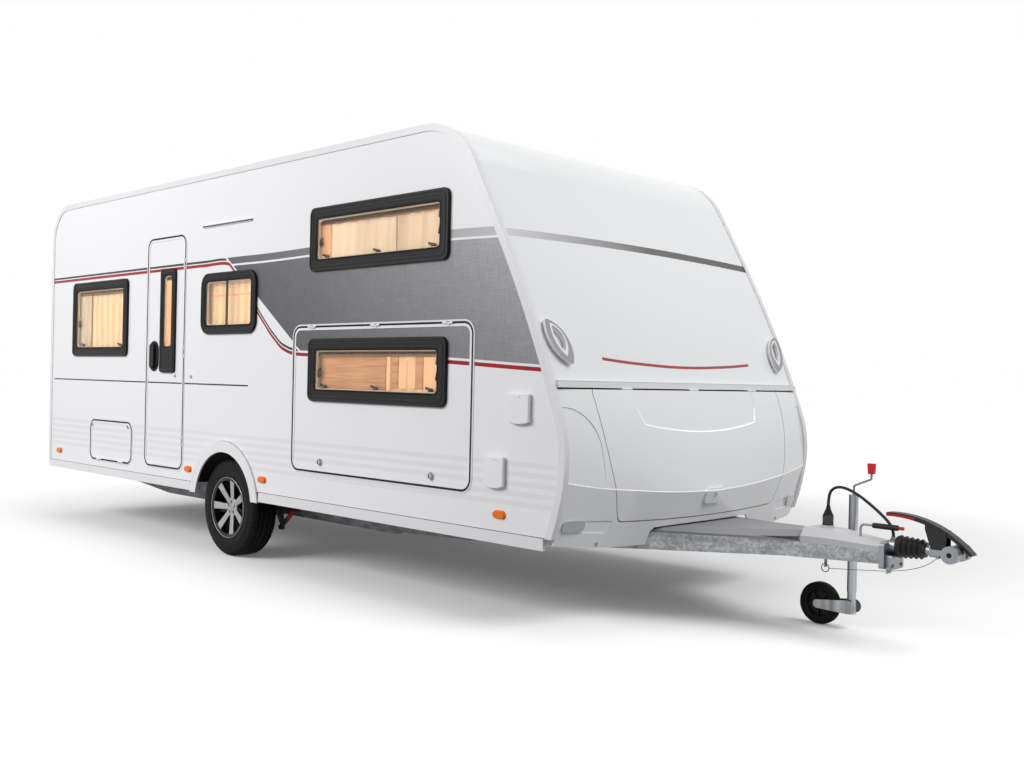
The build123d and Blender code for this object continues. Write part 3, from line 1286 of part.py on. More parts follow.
start, pitch, folds = BELLOWS
with BuildPart() as bellows:
    with BuildSketch(Plane(origin=(AXLE + start, 0, ball_z), x_dir=(1, 0, 0), z_dir=(0, -1, 0))):
        with BuildLine():
            points = [(0, DRAW_TUBE_R + 5), (0, 52)]
            for fold in range(folds):
                points += [(pitch * (fold + 0.5), 56 - 2 * fold), (pitch * (fold + 1), 44 - 2 * fold)]
            end = pitch * folds
            points += [(end + 8, DRAW_TUBE_R + 11), (end + 8, DRAW_TUBE_R + SEAT), (end, DRAW_TUBE_R + SEAT),
                       (end, DRAW_TUBE_R + 5)]
            Polyline(*points, close=True)
        make_face()
    revolve(axis=Axis((AXLE + start, 0, ball_z), (1, 0, 0)))
save(bellows, "coupling_bellows")

with BuildPart() as head:
    with BuildSketch(across(house_x + 5)):
        with Locations((0, ball_z)):
            Circle(DRAW_TUBE_R)
    extrude(amount=ball_x - HEAD_R - house_x)
    with Locations((AXLE + ball_x, 0, ball_z)):
        Sphere(HEAD_R)
        Cylinder(HEAD_R, SOCKET_L, align=(Align.CENTER, Align.CENTER, Align.MAX))
    pad_r, pad_in, pad_out = PAD
    for reach, radius in ((pad_out, pad_r - 11), (pad_out - 2, pad_r)):
        for side in (RIGHT, LEFT):
            plane, depth = span(side, pad_in if radius == pad_r else BALL_R, reach)
            with BuildSketch(plane):
                with Locations((ball_x, ball_z)):
                    Circle(radius)
            extrude(amount=depth)
    neck_x, neck_l, neck_w, neck_h = NECK
    with BuildSketch(across(neck_x)):
        with Locations((0, ball_z)):
            RectangleRounded(neck_w, neck_h, 14)
    extrude(amount=neck_l)
    pin_x, pin_z, pin_r = ANCHOR
    plane, depth = span(RIGHT, 12, 43.4)
    with BuildSketch(plane):
        with Locations((pin_x, pin_z)):
            Circle(pin_r)
    extrude(amount=depth)
    with Locations((AXLE + ball_x, 0, ball_z)):
        Sphere(BALL_R, mode=Mode.SUBTRACT)
        Cylinder(BALL_R, 2 * SOCKET_L, align=(Align.CENTER, Align.CENTER, Align.MAX), mode=Mode.SUBTRACT)
save(head, "coupling_head")

rod_y, rod_z, rod_r = HANDBRAKE
with BuildPart() as levers:
    with BuildSketch(upright(LEVER_Y)):
        with BuildLine():
            top = ThreePointArc(*LEVER[:3])
            Line(LEVER[2], LEVER[3])
            low_arc = ThreePointArc(*LEVER[3:])
            Line(LEVER[5], LEVER[0])
        make_face()
    extrude(amount=2 * LEVER_Y)
    for y in (CHEEK_Y + CHEEK_T, -CHEEK_Y):
        with BuildSketch(upright(y)):
            Polygon(*CHEEK, align=None)
        extrude(amount=CHEEK_T)
    with BuildLine() as rod:
        FilletPolyline((AXLE + ROD_X, rod_y, ROD_FOOT), (AXLE + ROD_X, rod_y, rod_z), (AXLE + GRIP[0] + 10, rod_y, rod_z),
                       radius=22)
    with BuildSketch(Plane(origin=rod.line @ 0, z_dir=rod.line % 0)):
        Circle(rod_r)
    sweep()
    for start, length, radius in (GRIP, (GRIP[0] + GRIP[1], *BUTTON)):
        with BuildSketch(across(start)):
            with Locations((rod_y, rod_z)):
                Circle(radius)
        extrude(amount=length)
save(levers, "coupling_levers")
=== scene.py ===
# %% [markdown]
# # A touring caravan
# The imported model gives every solid of the caravan at its real size and place. This lesson dresses
# it: it makes the paint, the window fittings, the tyres, the cords and the small hardware, and it
# lights the whole. We begin by loading the imported model; the box that the dressed whole fills is printed at the
# end.

import math

import bmesh
import bpy
from mathutils import Matrix, Vector


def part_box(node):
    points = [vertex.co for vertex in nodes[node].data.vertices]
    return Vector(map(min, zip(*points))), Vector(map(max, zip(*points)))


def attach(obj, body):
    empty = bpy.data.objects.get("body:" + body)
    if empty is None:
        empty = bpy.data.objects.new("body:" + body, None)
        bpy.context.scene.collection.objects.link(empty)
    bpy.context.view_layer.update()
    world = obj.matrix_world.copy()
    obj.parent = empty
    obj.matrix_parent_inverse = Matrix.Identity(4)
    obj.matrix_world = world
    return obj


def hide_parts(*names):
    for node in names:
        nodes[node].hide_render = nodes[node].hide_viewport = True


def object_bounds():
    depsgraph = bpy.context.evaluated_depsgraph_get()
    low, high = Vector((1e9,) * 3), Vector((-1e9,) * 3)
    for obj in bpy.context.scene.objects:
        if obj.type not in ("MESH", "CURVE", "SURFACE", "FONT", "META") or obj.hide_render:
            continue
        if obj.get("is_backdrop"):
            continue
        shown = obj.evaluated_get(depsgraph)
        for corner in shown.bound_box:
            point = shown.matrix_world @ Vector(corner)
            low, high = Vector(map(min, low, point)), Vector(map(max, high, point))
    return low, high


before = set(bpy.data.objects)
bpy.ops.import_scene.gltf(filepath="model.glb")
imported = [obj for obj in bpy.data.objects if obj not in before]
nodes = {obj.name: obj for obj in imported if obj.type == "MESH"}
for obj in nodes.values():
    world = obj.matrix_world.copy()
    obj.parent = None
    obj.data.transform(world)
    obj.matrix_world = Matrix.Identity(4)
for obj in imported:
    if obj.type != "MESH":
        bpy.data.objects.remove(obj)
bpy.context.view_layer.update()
AXLE = -0.870                   # the road axle, forward of the origin, in metres
WALL = 1.150                    # outer face of the side walls


def put(name, data):
    """A new object in the scene for a mesh, a curve, a lamp or a camera."""
    thing = bpy.data.objects.new(name, data)
    bpy.context.scene.collection.objects.link(thing)
    return thing


def stand(origin, first, second, third):
    """The matrix that takes x, y and z to these three directions and zero to origin."""
    return Matrix.Translation(origin) @ Matrix((first, second, third)).transposed().to_4x4()


# %% [markdown]
# ## The camera
# A camera is a place and three directions: right, up and back. Two angles turn it and a third
# rolls it a little, and its lens follows from the focal length in pixels on a 36 mm sensor.

# %% Camera
EYE = Vector((5.69514, -5.04272, 1.25542))
TURN, TILT, ROLL = (math.radians(a) for a in (134.46011, -0.21775, 1.27052))
FOCAL_PX, WIDTH_PX = 1078.741, 1024

ahead = Vector((math.cos(TILT) * math.cos(TURN), math.cos(TILT) * math.sin(TURN), math.sin(TILT)))
level = Vector((math.sin(TURN), -math.cos(TURN), 0))
rise = level.cross(ahead)
right = math.cos(ROLL) * level + math.sin(ROLL) * rise
up = -math.sin(ROLL) * level + math.cos(ROLL) * rise

camera = put("camera", bpy.data.cameras.new("camera"))
camera.matrix_world = stand(EYE, right, up, -ahead)
camera.data.lens = 36 * FOCAL_PX / WIDTH_PX
camera.data.clip_end = 300
bpy.context.scene.camera = camera
print(f"lens {camera.data.lens:.2f} mm, {(EYE - Vector((AXLE, -WALL, 1))).length:.2f} m from the wheel")

# %% [markdown]
# ## A pen for node materials
# Every finish below is a Principled shader with a few nodes in front of it. A small class keeps the
# node code short: it adds a node, feeds its sockets and hands back the output. Colours are written
# as they look, in sRGB, and turned into the linear numbers that the renderer wants.

# %% Pen for finishes
def colour(*srgb):
    """Linear colour with alpha from sRGB numbers between 0 and 1."""
    return tuple(c / 12.92 if c <= 0.04045 else ((c + 0.055) / 1.055) ** 2.4 for c in srgb) + (1.0,)


def grey(level, blue=0.01):
    """A grey with a touch more blue."""
    return colour(level, level, level + blue)


class Pen:
    """Draws nodes in one node tree and feeds their sockets."""

    def __init__(self, tree):
        self.tree = tree

    def node(self, kind, *inputs, **settings):
        node = self.tree.nodes.new("ShaderNode" + kind)
        for key, value in settings.items():
            setattr(node, key, value)
        for socket, value in zip(node.inputs, inputs):
            self.feed(socket, value)
        return node

    def feed(self, socket, value):
        if isinstance(value, bpy.types.NodeSocket):
            self.tree.links.new(value, socket)
        elif value is not None:
            socket.default_value = value

    def math(self, operation, *inputs):
        return self.node("Math", *inputs, operation=operation).outputs[0]

    def plus(self, first, second):
        return self.math("ADD", first, second)

    def minus(self, first, second):
        return self.math("SUBTRACT", first, second)

    def times(self, *factors):
        """The product of some values, or of masks, which is 1 where all of them are."""
        result = factors[0]
        for factor in factors[1:]:
            result = self.math("MULTIPLY", result, factor)
        return result

    def most(self, first, second):
        return self.math("MAXIMUM", first, second)

    def size(self, value):
        return self.math("ABSOLUTE", value)

    def over(self, value, level):
        return self.math("GREATER_THAN", value, level)

    def under(self, value, level):
        return self.math("LESS_THAN", value, level)

    def between(self, value, low, high):
        return self.times(self.over(value, low), self.under(value, high))

    def near(self, value, middle, reach):
        return self.under(self.size(self.minus(value, middle)), reach)

    def spread(self, value, low, high, new_low=0.0, new_high=1.0):
        """Value moved from its range of low to high to a new range."""
        return self.node("MapRange", value, low, high, new_low, new_high).outputs[0]


class Finish(Pen):
    """A Principled material and the nodes in front of its shader."""

    def __init__(self, name, base, roughness, shine=0.5, **sockets):
        self.material = bpy.data.materials.new(name)
        self.material.use_nodes = True
        super().__init__(self.material.node_tree)
        self.shader, self.base = self.tree.nodes["Principled BSDF"], base
        sockets |= {"Base_Color": base, "Roughness": roughness, "Specular_IOR_Level": shine}
        for socket, value in sockets.items():
            self.shader.inputs[socket.replace("_", " ")].default_value = value

    def coordinates(self):
        return self.node("TexCoord").outputs["Object"]

    def place(self):
        """The x, y and z of a point of the piece, as three outputs."""
        return self.node("SeparateXYZ", self.coordinates()).outputs

    def mix(self, mask, under, over):
        node = self.node("Mix", data_type="RGBA")
        for socket, value in ((node.inputs["Factor"], mask), (node.inputs[6], under), (node.inputs[7], over)):
            self.feed(socket, value)
        return node.outputs[2]

    def noise(self, scale, detail=2.0, stretch=(1, 1, 1)):
        """Noise over the piece, between 0 and 1, with the scale in cells per metre."""
        mapping = self.node("Mapping", self.coordinates())
        mapping.inputs["Scale"].default_value = stretch
        return self.node("TexNoise", mapping.outputs[0], None, scale, detail).outputs["Fac"]

    def wave(self, scale, direction="X", *distortion):
        """Bands that follow one another along a direction, between 0 and 1."""
        return self.node("TexWave", self.coordinates(), scale, *distortion,
                         bands_direction=direction).outputs["Fac"]

    def ramp(self, value, *stops):
        """Colour ramp over value: stops are (position, colour)."""
        node = self.node("ValToRGB", value)
        band = node.color_ramp
        while len(band.elements) < len(stops):
            band.elements.new(0.5)
        for element, (position, tint) in zip(band.elements, stops):
            element.position, element.color = position, tint
        return node.outputs[0]

    def curve(self, value, low, high, bottom, top, points):
        """A line through points, (value, height) pairs, as a height that follows value."""
        node = self.node("FloatCurve", 1.0, self.spread(value, low, high))
        line = node.mapping.curves[0]
        while len(line.points) < len(points):
            line.points.new(0.5, 0.5)
        for point, (along, height) in zip(line.points, points):
            point.location = ((along - low) / (high - low), (height - bottom) / (top - bottom))
            point.handle_type = "AUTO"
        node.mapping.update()
        return self.spread(node.outputs[0], 0.0, 1.0, bottom, top)

    def paint(self, tint):
        self.feed(self.shader.inputs["Base Color"], tint)

    def split(self, axis, level, second):
        """A second colour for what lies past a level on an axis; gives the finish itself."""
        self.paint(self.mix(self.over(self.place()[axis], level), self.base, second))
        return self

    def glow(self, tint, strength):
        self.feed(self.shader.inputs["Emission Color"], tint)
        self.shader.inputs["Emission Strength"].default_value = strength

    def rough(self, value, low, high):
        """Roughness from low to high as value goes from 0 to 1."""
        self.feed(self.shader.inputs["Roughness"], self.spread(value, 0.0, 1.0, low, high))

    def bump(self, height, distance, strength):
        node = self.node("Bump")
        node.inputs["Strength"].default_value = strength
        node.inputs["Distance"].default_value = distance
        self.feed(node.inputs["Height"], height)
        self.feed(self.shader.inputs["Normal"], node.outputs[0])

    def grain(self, distance, strength, *noise):
        """Bump from noise of this scale, detail and stretch; gives the finish itself."""
        self.bump(self.noise(*noise), distance, strength)
        return self


def wear(piece, finish):
    """Give a piece one finish."""
    piece.data.materials.clear()
    piece.data.materials.append(finish.material)


def dress(finish, *names):
    """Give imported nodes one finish."""
    for name in names:
        wear(nodes[name], finish)


# %% [markdown]
# ## Helpers for modelled pieces
# A new piece starts as a bmesh in metres, in the caravan's own frame or in one that place takes
# there, so its object stays at the origin. One function turns it into an object, smooths its shallow
# edges, gives it its finish and lets it ride on a body.

# %% Making a piece
def finish_piece(name, mesh, finish, body="caravan", soften=None, smooth=35, place=None):
    """Object from a bmesh: recalculated normals, edges softened by soften metres, riding on a body."""
    if place:
        mesh.transform(place)
    bmesh.ops.remove_doubles(mesh, verts=mesh.verts, dist=1e-6)
    bmesh.ops.recalc_face_normals(mesh, faces=mesh.faces)
    data = bpy.data.meshes.new(name)
    mesh.to_mesh(data)
    mesh.free()
    piece = put(name, data)
    data.shade_smooth()
    data.set_sharp_from_angle(angle=math.radians(smooth))
    if soften:
        edge = piece.modifiers.new("soften", "BEVEL")
        edge.width, edge.segments, edge.limit_method = soften, 2, "ANGLE"
        edge.angle_limit = math.radians(40)
        edge.harden_normals = True
    wear(piece, finish)
    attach(piece, body)
    return piece


def block(mesh, low, high):
    """A box between two corners, added to a bmesh; gives its vertices."""
    low, high = Vector(low), Vector(high)
    made = bmesh.ops.create_cube(mesh, size=1, matrix=Matrix.Translation((low + high) / 2)
                                 @ Matrix.Diagonal((*(high - low), 1)))
    return made["verts"]


def rod(mesh, start, end, radius, tip=None, sides=20):
    """A round bar from start to end, tapering to radius tip if that is given."""
    start, end = Vector(start), Vector(end)
    turn = Vector((0, 0, 1)).rotation_difference(end - start).to_matrix().to_4x4()
    made = bmesh.ops.create_cone(mesh, cap_ends=True, segments=sides, radius1=radius,
                                 radius2=radius if tip is None else tip, depth=(end - start).length,
                                 matrix=Matrix.Translation((start + end) / 2) @ turn)
    return made["verts"]


def ring(mesh, profile, centre, axis, steps=48):
    """A closed profile of (along the axis, radius) points spun once round the axis through centre."""
    axis, centre = Vector(axis).normalized(), Vector(centre)
    aside = axis.orthogonal().normalized()
    points = [mesh.verts.new(centre + axis * along + aside * radius) for along, radius in profile]
    edges = [mesh.edges.new(pair) for pair in zip(points, points[1:])]
    edges.append(mesh.edges.new((points[-1], points[0])))
    bmesh.ops.spin(mesh, geom=points + edges, cent=centre, axis=axis, angle=math.tau, steps=steps,
                   use_merge=True)


# %% [markdown]
# ## The trailer lead and the breakaway cable
# Two flexible lines hang at the drawbar. The lead is a 15 mm rubber cable that rises out of its
# plug, bows over and drops into a gland on the coupling. The breakaway cable is a thin red-sleeved
# wire from a ring under the drawbar to a hook on the coupling head. Each is a NURBS curve whose
# control points are the route's points, so its line is smooth wherever the points are.

# %% Cords
ROUTES = {
    "trailer_lead": [(3886, 0, 645), (3886, 0, 706), (3908, 6, 742), (3948, 12, 751), (3996, 18, 737),
                     (4045, 24, 711), (4090, 30, 679), (4135, 36, 644), (4180, 42, 604), (4212, 46, 562),
                     (4212, 46, 518)],
    "breakaway_cable": [(3952.8, -100, 352), (4225, -100, 375), (4290, -99, 386), (4350, -94, 398),
                        (4405, -82, 416), (4445, -62, 438), (4466, -45, 462)],
}


def cord_piece(name, radius, finish):
    """The route as a round NURBS curve, standing for the solid of the same name."""
    points = [Vector((AXLE + x / 1000, y / 1000, z / 1000)) for x, y, z in ROUTES[name]]
    data = bpy.data.curves.new(name + "_line", "CURVE")
    data.dimensions = "3D"
    line = data.splines.new("NURBS")
    line.points.add(len(points) - 1)
    for point, place in zip(line.points, points):
        point.co = (*place, 1)
    line.order_u = 3
    line.use_endpoint_u = True
    line.resolution_u = 16
    data.bevel_depth, data.bevel_resolution, data.use_fill_caps = radius, 6, True
    piece = put(name + "_line", data)
    data.materials.append(finish.material)
    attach(piece, "caravan")
    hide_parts(name)
    return piece, points


lead_rubber = Finish("lead_rubber", grey(0.065, 0.005), 0.5, 0.3).grain(0.0002, 1.0, 900)
lead, lead_points = cord_piece("trailer_lead", 0.0075, lead_rubber)
cable_sleeve = Finish("cable_sleeve", grey(0.10), 0.4).split(0, AXLE + 4.27, colour(0.32, 0.04, 0.06))
cable_sleeve.grain(0.0001, 1.0, 1500, 2.0, (0.2, 1, 1))
cable, cable_points = cord_piece("breakaway_cable", 0.0015, cable_sleeve)
print("lead and cable from", tuple(round(c, 3) for c in lead_points[0]), tuple(round(c, 3) for c in cable_points[0]))

# %% [markdown]
# ## The painted skin and its livery
# The walls, the door and the hatches wear the same white gel coat, and one pattern of film runs
# over all of them. Because every piece keeps its place in its mesh, a pattern drawn on the object's
# own x and z continues from the wall over the door and the hatch. Each line of the livery is a
# curve of z over x, and a mask is what lies between two curves. The film is on the outer face
# only, so a last mask reads y. Raised edge profiles stand prouder than the skin and stay white.

# %% Livery lines
WHITE = colour(0.93, 0.93, 0.94)
RED = colour(0.62, 0.0, 0.04)
CHARCOAL = grey(0.20, 0.015)
LINE_BLACK = grey(0.07)
SEALANT = grey(0.27)
#            x from the axle, z: the red line, then the upper edge of the woven field, in metres
RED_LINE = [(-3.1, 2.007), (-0.30, 2.007), (-0.02, 2.006), (0.06, 1.966), (0.17, 1.875), (0.29, 1.755),
            (0.40, 1.642), (0.474, 1.575), (0.595, 1.476), (0.711, 1.411), (0.823, 1.387), (1.0, 1.380),
            (1.394, 1.367), (2.03, 1.351), (2.471, 1.332), (2.728, 1.318), (3.1, 1.300)]
TOP_LINE = [(-0.1, 1.981), (0.0, 1.984), (0.5, 1.983), (0.972, 1.989), (1.6, 1.993), (2.253, 1.993), (2.67, 1.982),
            (3.1, 1.975)]
RED_HALF = 0.0105               # half the red line's width
OVER_RED = 0.024                # where the fields begin above the red line
PALE_BAND = (0.013, 0.059)      # the grey band, above the upper edge of the woven field
CHARCOAL_BAND = (0.018, 0.034)  # the dark line, above the red one
SLANT = 1.4                     # how far the slanted end of the fields leans back over its height
SLANT_END = (-0.003, 2.037)     # x and z of its upper corner
SLANT_GAP = 0.028               # white between the dark line and the slanted end
WAIST = ((1.169, 1.179), (-2.806, 0.285))   # z and x of the thin dark line below the windows
STRIPES_LOW = (0.605, 0.855, 0.050)         # z0, z1 and pitch of the pale stripes near the sill
ARCH = (0.440, 0.350, 0.003)                # wheel arch trim: its radius, its middle's height, its seam's width
SILL_SEAM = (0.477, 0.4805)                 # the seam above the skirt
FILM = (WALL - 0.0015, WALL + 0.0012)       # how far out a point lies on the skin's outer face
print(f"livery drawn from {len(RED_LINE)} and {len(TOP_LINE)} points")


# %% Livery
def woven_cloth(skin, along, z, fade):
    """The woven field's colour: threads both ways and faint squares, fading forwards and darker towards the bottom.
    """
    weave = skin.mix(0.5, skin.noise(12, 3, (1, 1, 12)), skin.noise(12, 3, (12, 1, 1)))
    checks = skin.node("TexBrick", skin.node("CombineXYZ", along, z).outputs[0], (1, 1, 1, 1), (0, 0, 0, 1),
                       (0.5, 0.5, 0.5, 1), 9.0, 0.02, 0.1, 0.0, 0.9, 0.45).outputs["Color"]
    tint = skin.ramp(fade, (0.0, grey(0.31, 0.015)), (0.35, grey(0.43, 0.015)), (0.75, grey(0.58, 0.015)),
                     (1.0, grey(0.68, 0.015)))
    cloth = skin.node("VectorMath", tint, operation="SCALE")
    skin.feed(cloth.inputs["Scale"], skin.times(skin.spread(weave, 0.35, 0.65, 0.88, 1.12),
                                                skin.spread(checks, 0.0, 1.0, 0.97, 1.03),
                                                skin.spread(z, 1.33, 1.98, 0.66, 1.05)))
    return cloth.outputs[0]


def livery(name, base=WHITE):
    """The walls' gel coat with the whole livery drawn on it."""
    skin = Finish(name, base, 0.28, 0.25, Coat_Weight=0.05, Coat_Roughness=0.08)
    x, y, z = skin.place()
    along = skin.minus(x, AXLE)
    over_red = skin.minus(z, skin.curve(along, -3.1, 3.1, 1.2, 2.1, RED_LINE))
    over_top = skin.minus(z, skin.curve(along, -0.1, 3.1, 1.9, 2.1, TOP_LINE))
    fade = skin.spread(along, 0.0, 2.95)
    band = skin.ramp(fade, (0.0, grey(0.36, 0.015)), (0.45, grey(0.50)), (0.8, grey(0.70)), (1.0, grey(0.79)))

    slant = skin.plus(along, skin.times(skin.minus(z, SLANT_END[1]), SLANT))
    field = skin.times(skin.over(slant, SLANT_END[0]), skin.over(over_red, OVER_RED))
    raised = skin.minus(z, ARCH[1])
    from_arch = skin.math("SQRT", skin.plus(skin.times(along, along), skin.times(raised, raised)))
    films = [
        (woven_cloth(skin, along, z, fade), skin.times(field, skin.under(over_top, 0.0))),
        (band, skin.times(field, skin.between(over_top, *PALE_BAND))),
        (RED, skin.between(over_red, -RED_HALF, RED_HALF)),
        (CHARCOAL, skin.times(skin.under(slant, -SLANT_GAP), skin.between(over_red, *CHARCOAL_BAND))),
        (LINE_BLACK, skin.times(skin.between(z, *WAIST[0]), skin.between(along, *WAIST[1]))),
        (SEALANT, skin.between(from_arch, ARCH[0], ARCH[0] + ARCH[2])),
        (SEALANT, skin.between(z, *SILL_SEAM)),
    ]
    low, high, pitch = STRIPES_LOW
    stripes = skin.over(skin.math("PINGPONG", skin.minus(z, low), pitch / 2), pitch / 4)
    pale = skin.times(stripes, skin.between(z, low, high), 0.55)
    outer = skin.between(skin.size(y), *FILM)
    tint = skin.mix(skin.times(pale, outer), base, grey(0.87))
    for film, mask in films:
        tint = skin.mix(skin.times(mask, outer), tint, film)
    skin.paint(tint)
    return skin.grain(0.0004, 0.25, 60)


skin_white = livery("skin_white")
dress(skin_white, "side_wall_right", "side_wall_left", "entrance_door", "side_hatch", "service_flap",
      "cassette_flap")
print(len(skin_white.tree.nodes), "nodes in the livery")

# %% [markdown]
# ## White mouldings, roof and trim
# The front, the locker lid and the bumpers are glossy mouldings: a clear coat over white with the
# faintest waviness. The front panel carries a film stripe near its top, a red arc above the ledge
# and a thin seam at the ledge. Along the ridge of the bumper and the edges of the lid's dished face
# runs a painted highlight a few millimetres wide, near-white and glowing a little.

# %% Gloss mouldings
def both_sides(*half):
    """A symmetrical line's (y, z) points, from those of one side, the outermost first, to the middle."""
    return [(-y, z) for y, z in half] + [(y, z) for y, z in half[-2::-1]]


MOULDING = colour(0.92, 0.925, 0.93)
STRIPE = both_sides((1.2, 2.012), (0.6, 2.030), (0, 2.036))
STRIPE_HALF = 0.021
ARC = both_sides((0.75, 1.378), (0.35, 1.352), (0, 1.343))
ARC_HALF, ARC_END = 0.008, 0.70
LEDGE_SEAM = (1.2525, 1.2560)
RIDGE = both_sides((1.12, 0.757), (0.7, 0.705), (0, 0.670))
# Half the widths of the painted highlights along the ridge and along the dish's edges
RIDGE_HIGHLIGHT_HALF, DISH_HIGHLIGHT_HALF = 0.0028, 0.0022
DISH = both_sides((0.53, 1.036), (0.27, 1.0015), (0, 0.990))
DISH_SIDE = (1.036, 1.214, 0.530, 0.610)    # z0, z1, y0, y1 of the dished face's leaning side
DISH_TOP = 1.12                             # where its bright line ends
NOSE_FROM = 2.0                             # x from which a point lies on the nose


def gloss(name):
    """A glossy white moulding with the faintest waviness."""
    finish = Finish(name, MOULDING, 0.16, Coat_Weight=0.3, Coat_Roughness=0.04)
    return finish.grain(0.0012, 0.12, 14)


front_skin = gloss("front_skin")
x, y, z = front_skin.place()
on_nose = front_skin.over(x, NOSE_FROM)
stripe_z = front_skin.curve(y, -1.2, 1.2, 1.9, 2.1, STRIPE)
arc_z = front_skin.curve(y, -0.75, 0.75, 1.3, 1.4, ARC)
stripe_tint = front_skin.ramp(front_skin.spread(y, -1.12, 1.12), (0.0, grey(0.82)), (0.28, grey(0.62)),
                              (0.55, grey(0.30)), (1.0, grey(0.13)))
tint = front_skin.mix(front_skin.times(front_skin.near(z, stripe_z, STRIPE_HALF), front_skin.over(x, 1.5)),
                      MOULDING, stripe_tint)
tint = front_skin.mix(front_skin.times(front_skin.near(z, arc_z, ARC_HALF),
                                       front_skin.under(front_skin.size(y), ARC_END), on_nose), tint, RED)
tint = front_skin.mix(front_skin.times(front_skin.between(z, *LEDGE_SEAM), on_nose), tint, grey(0.60))
front_skin.paint(tint)
dress(front_skin, "front_panel")
dress(gloss("moulding"), "rear_bumper")

nose = gloss("nose_moulding")
x, y, z = nose.place()
sideways = nose.size(y)
dish_z = nose.curve(y, -0.6, 0.6, 0.9, 1.1, DISH)
dish_y = nose.spread(z, *DISH_SIDE)
# Painted highlight: a thin line along the ridge and along the edges of the dished face
lines = nose.near(z, nose.curve(y, -1.12, 1.12, 0.6, 0.8, RIDGE), RIDGE_HIGHLIGHT_HALF)
for line, edge in ((nose.near(z, dish_z, DISH_HIGHLIGHT_HALF), nose.under(sideways, DISH[-1][0])),
                   (nose.near(sideways, dish_y, DISH_HIGHLIGHT_HALF), nose.between(z, DISH_SIDE[0], DISH_TOP))):
    lines = nose.most(lines, nose.times(line, edge))
lines = nose.times(lines, nose.over(x, 2.12))
# The painted highlight is near-white and glows a little
nose.paint(nose.mix(lines, MOULDING, colour(0.99, 0.99, 0.99)))
nose.glow(nose.mix(lines, colour(0, 0, 0), colour(1, 1, 1)), 0.28)
dress(nose, "locker_lid", "front_bumper")
print("lines on the front:", len(STRIPE) + len(ARC) + len(RIDGE) + len(DISH), "points")

# %% [markdown]
# The roof is a stucco-embossed sheet, and the rails are powder-coated aluminium. The plastic of the
# wall fittings also makes the awning light, whose slit is dark, and the grab handles. The front
# face of a handle is grey. Its opening is what two circles share, so that part is painted white.

# %% Roof, rails and fittings
LAMP_SLIT = (2.273, 2.284)                  # z of the awning light's dark slit
HANDLE_LEAN = (0.9174, 0.3979)              # forward and up parts of a handle's outward direction
HANDLE_FACE = 2.4920                        # distance of its front face in that direction
HANDLE_MIDDLE = (1.0, 1.452)                # y and z that its opening is measured from
OPENING = ((0.0882, -0.0065, 0.1087), (-0.1010, 0.0538, 0.1752))    # circles: out, up, radius

roof_sheet = Finish("roof_sheet", grey(0.90), 0.3, Coat_Weight=0.2, Coat_Roughness=0.1)
stucco = roof_sheet.node("TexVoronoi", roof_sheet.coordinates(), None, 190.0, feature="SMOOTH_F1")
roof_sheet.bump(stucco.outputs["Distance"], 0.0006, 0.35)
rail_coat = Finish("rail_coat", grey(0.88), 0.32, Coat_Weight=0.15, Coat_Roughness=0.2)
rail_coat.grain(0.0001, 0.3, 500, 1)
white_plastic = Finish("white_plastic", grey(0.90), 0.38).grain(0.0001, 0.5, 700)

fittings = Finish("fittings_plastic", grey(0.92), 0.38)
x, y, z = fittings.place()
outwards = fittings.plus(fittings.times(x, HANDLE_LEAN[0]), fittings.times(z, HANDLE_LEAN[1]))
out = fittings.minus(fittings.size(y), HANDLE_MIDDLE[0])
up = fittings.math("DIVIDE", fittings.minus(z, HANDLE_MIDDLE[1]), HANDLE_LEAN[0])
opening = 1.0
for circle_out, circle_up, radius in OPENING:
    squares = [fittings.math("POWER", fittings.size(fittings.minus(a, b)), 2.0)
               for a, b in ((out, circle_out), (up, circle_up))]
    opening = fittings.times(fittings.under(fittings.plus(*squares), radius ** 2), opening)
face = fittings.times(fittings.over(x, AXLE + 2.6), fittings.over(z, 1.26), fittings.over(outwards, HANDLE_FACE),
                      fittings.minus(1.0, opening))
tint = fittings.mix(face, grey(0.92), grey(0.60))
fittings.paint(fittings.mix(fittings.between(z, *LAMP_SLIT), tint, colour(0.20, 0.21, 0.22)))
fittings.grain(0.0001, 0.5, 700)
dress(roof_sheet, "roof_panel", "rear_panel")
dress(rail_coat, "edge_rails_and_skirts", "door_and_hatch_frames")
dress(white_plastic, "wheel_arch_trims", "roof_lights")
dress(fittings, "wall_fittings")
print("roof, rails and fittings finished")

# %% [markdown]
# ## Steel, rubber, plastics and glass
# Hot-dip galvanised steel is a patchwork of dull crystals, so its colour and roughness come from
# Voronoi cells with a little noise for streaks. Tyre rubber and black plastic differ mostly in
# roughness. The shock absorbers are red over a black foot, and the drawbar's cover is lighter ahead.

# %% Steel, rubber and plastics
def streaked(name, base, roughness, metallic, dark, light, *noise):
    """A metal whose colour follows stretched noise; gives it with that noise."""
    metal = Finish(name, base, roughness, Metallic=metallic)
    streaks = metal.noise(*noise)
    metal.paint(metal.ramp(streaks, (0.3, dark), (0.7, light)))
    return metal, streaks


galvanised = Finish("galvanised", colour(0.52, 0.53, 0.54), 0.42, Metallic=0.85)
flakes = galvanised.node("TexVoronoi", galvanised.coordinates(), None, 75.0)
flake = galvanised.node("SeparateColor", flakes.outputs["Color"]).outputs[0]
streaks = galvanised.noise(7, 4, (1, 1, 3))
mottle = galvanised.plus(galvanised.times(flake, 0.26), galvanised.times(streaks, 0.8))
galvanised.paint(galvanised.ramp(mottle, (0.15, colour(0.36, 0.37, 0.38)), (0.5, colour(0.53, 0.54, 0.55)),
                                 (0.85, colour(0.70, 0.71, 0.72))))
galvanised.rough(mottle, 0.32, 0.55)
galvanised.grain(0.0005, 0.4, 60, 3)
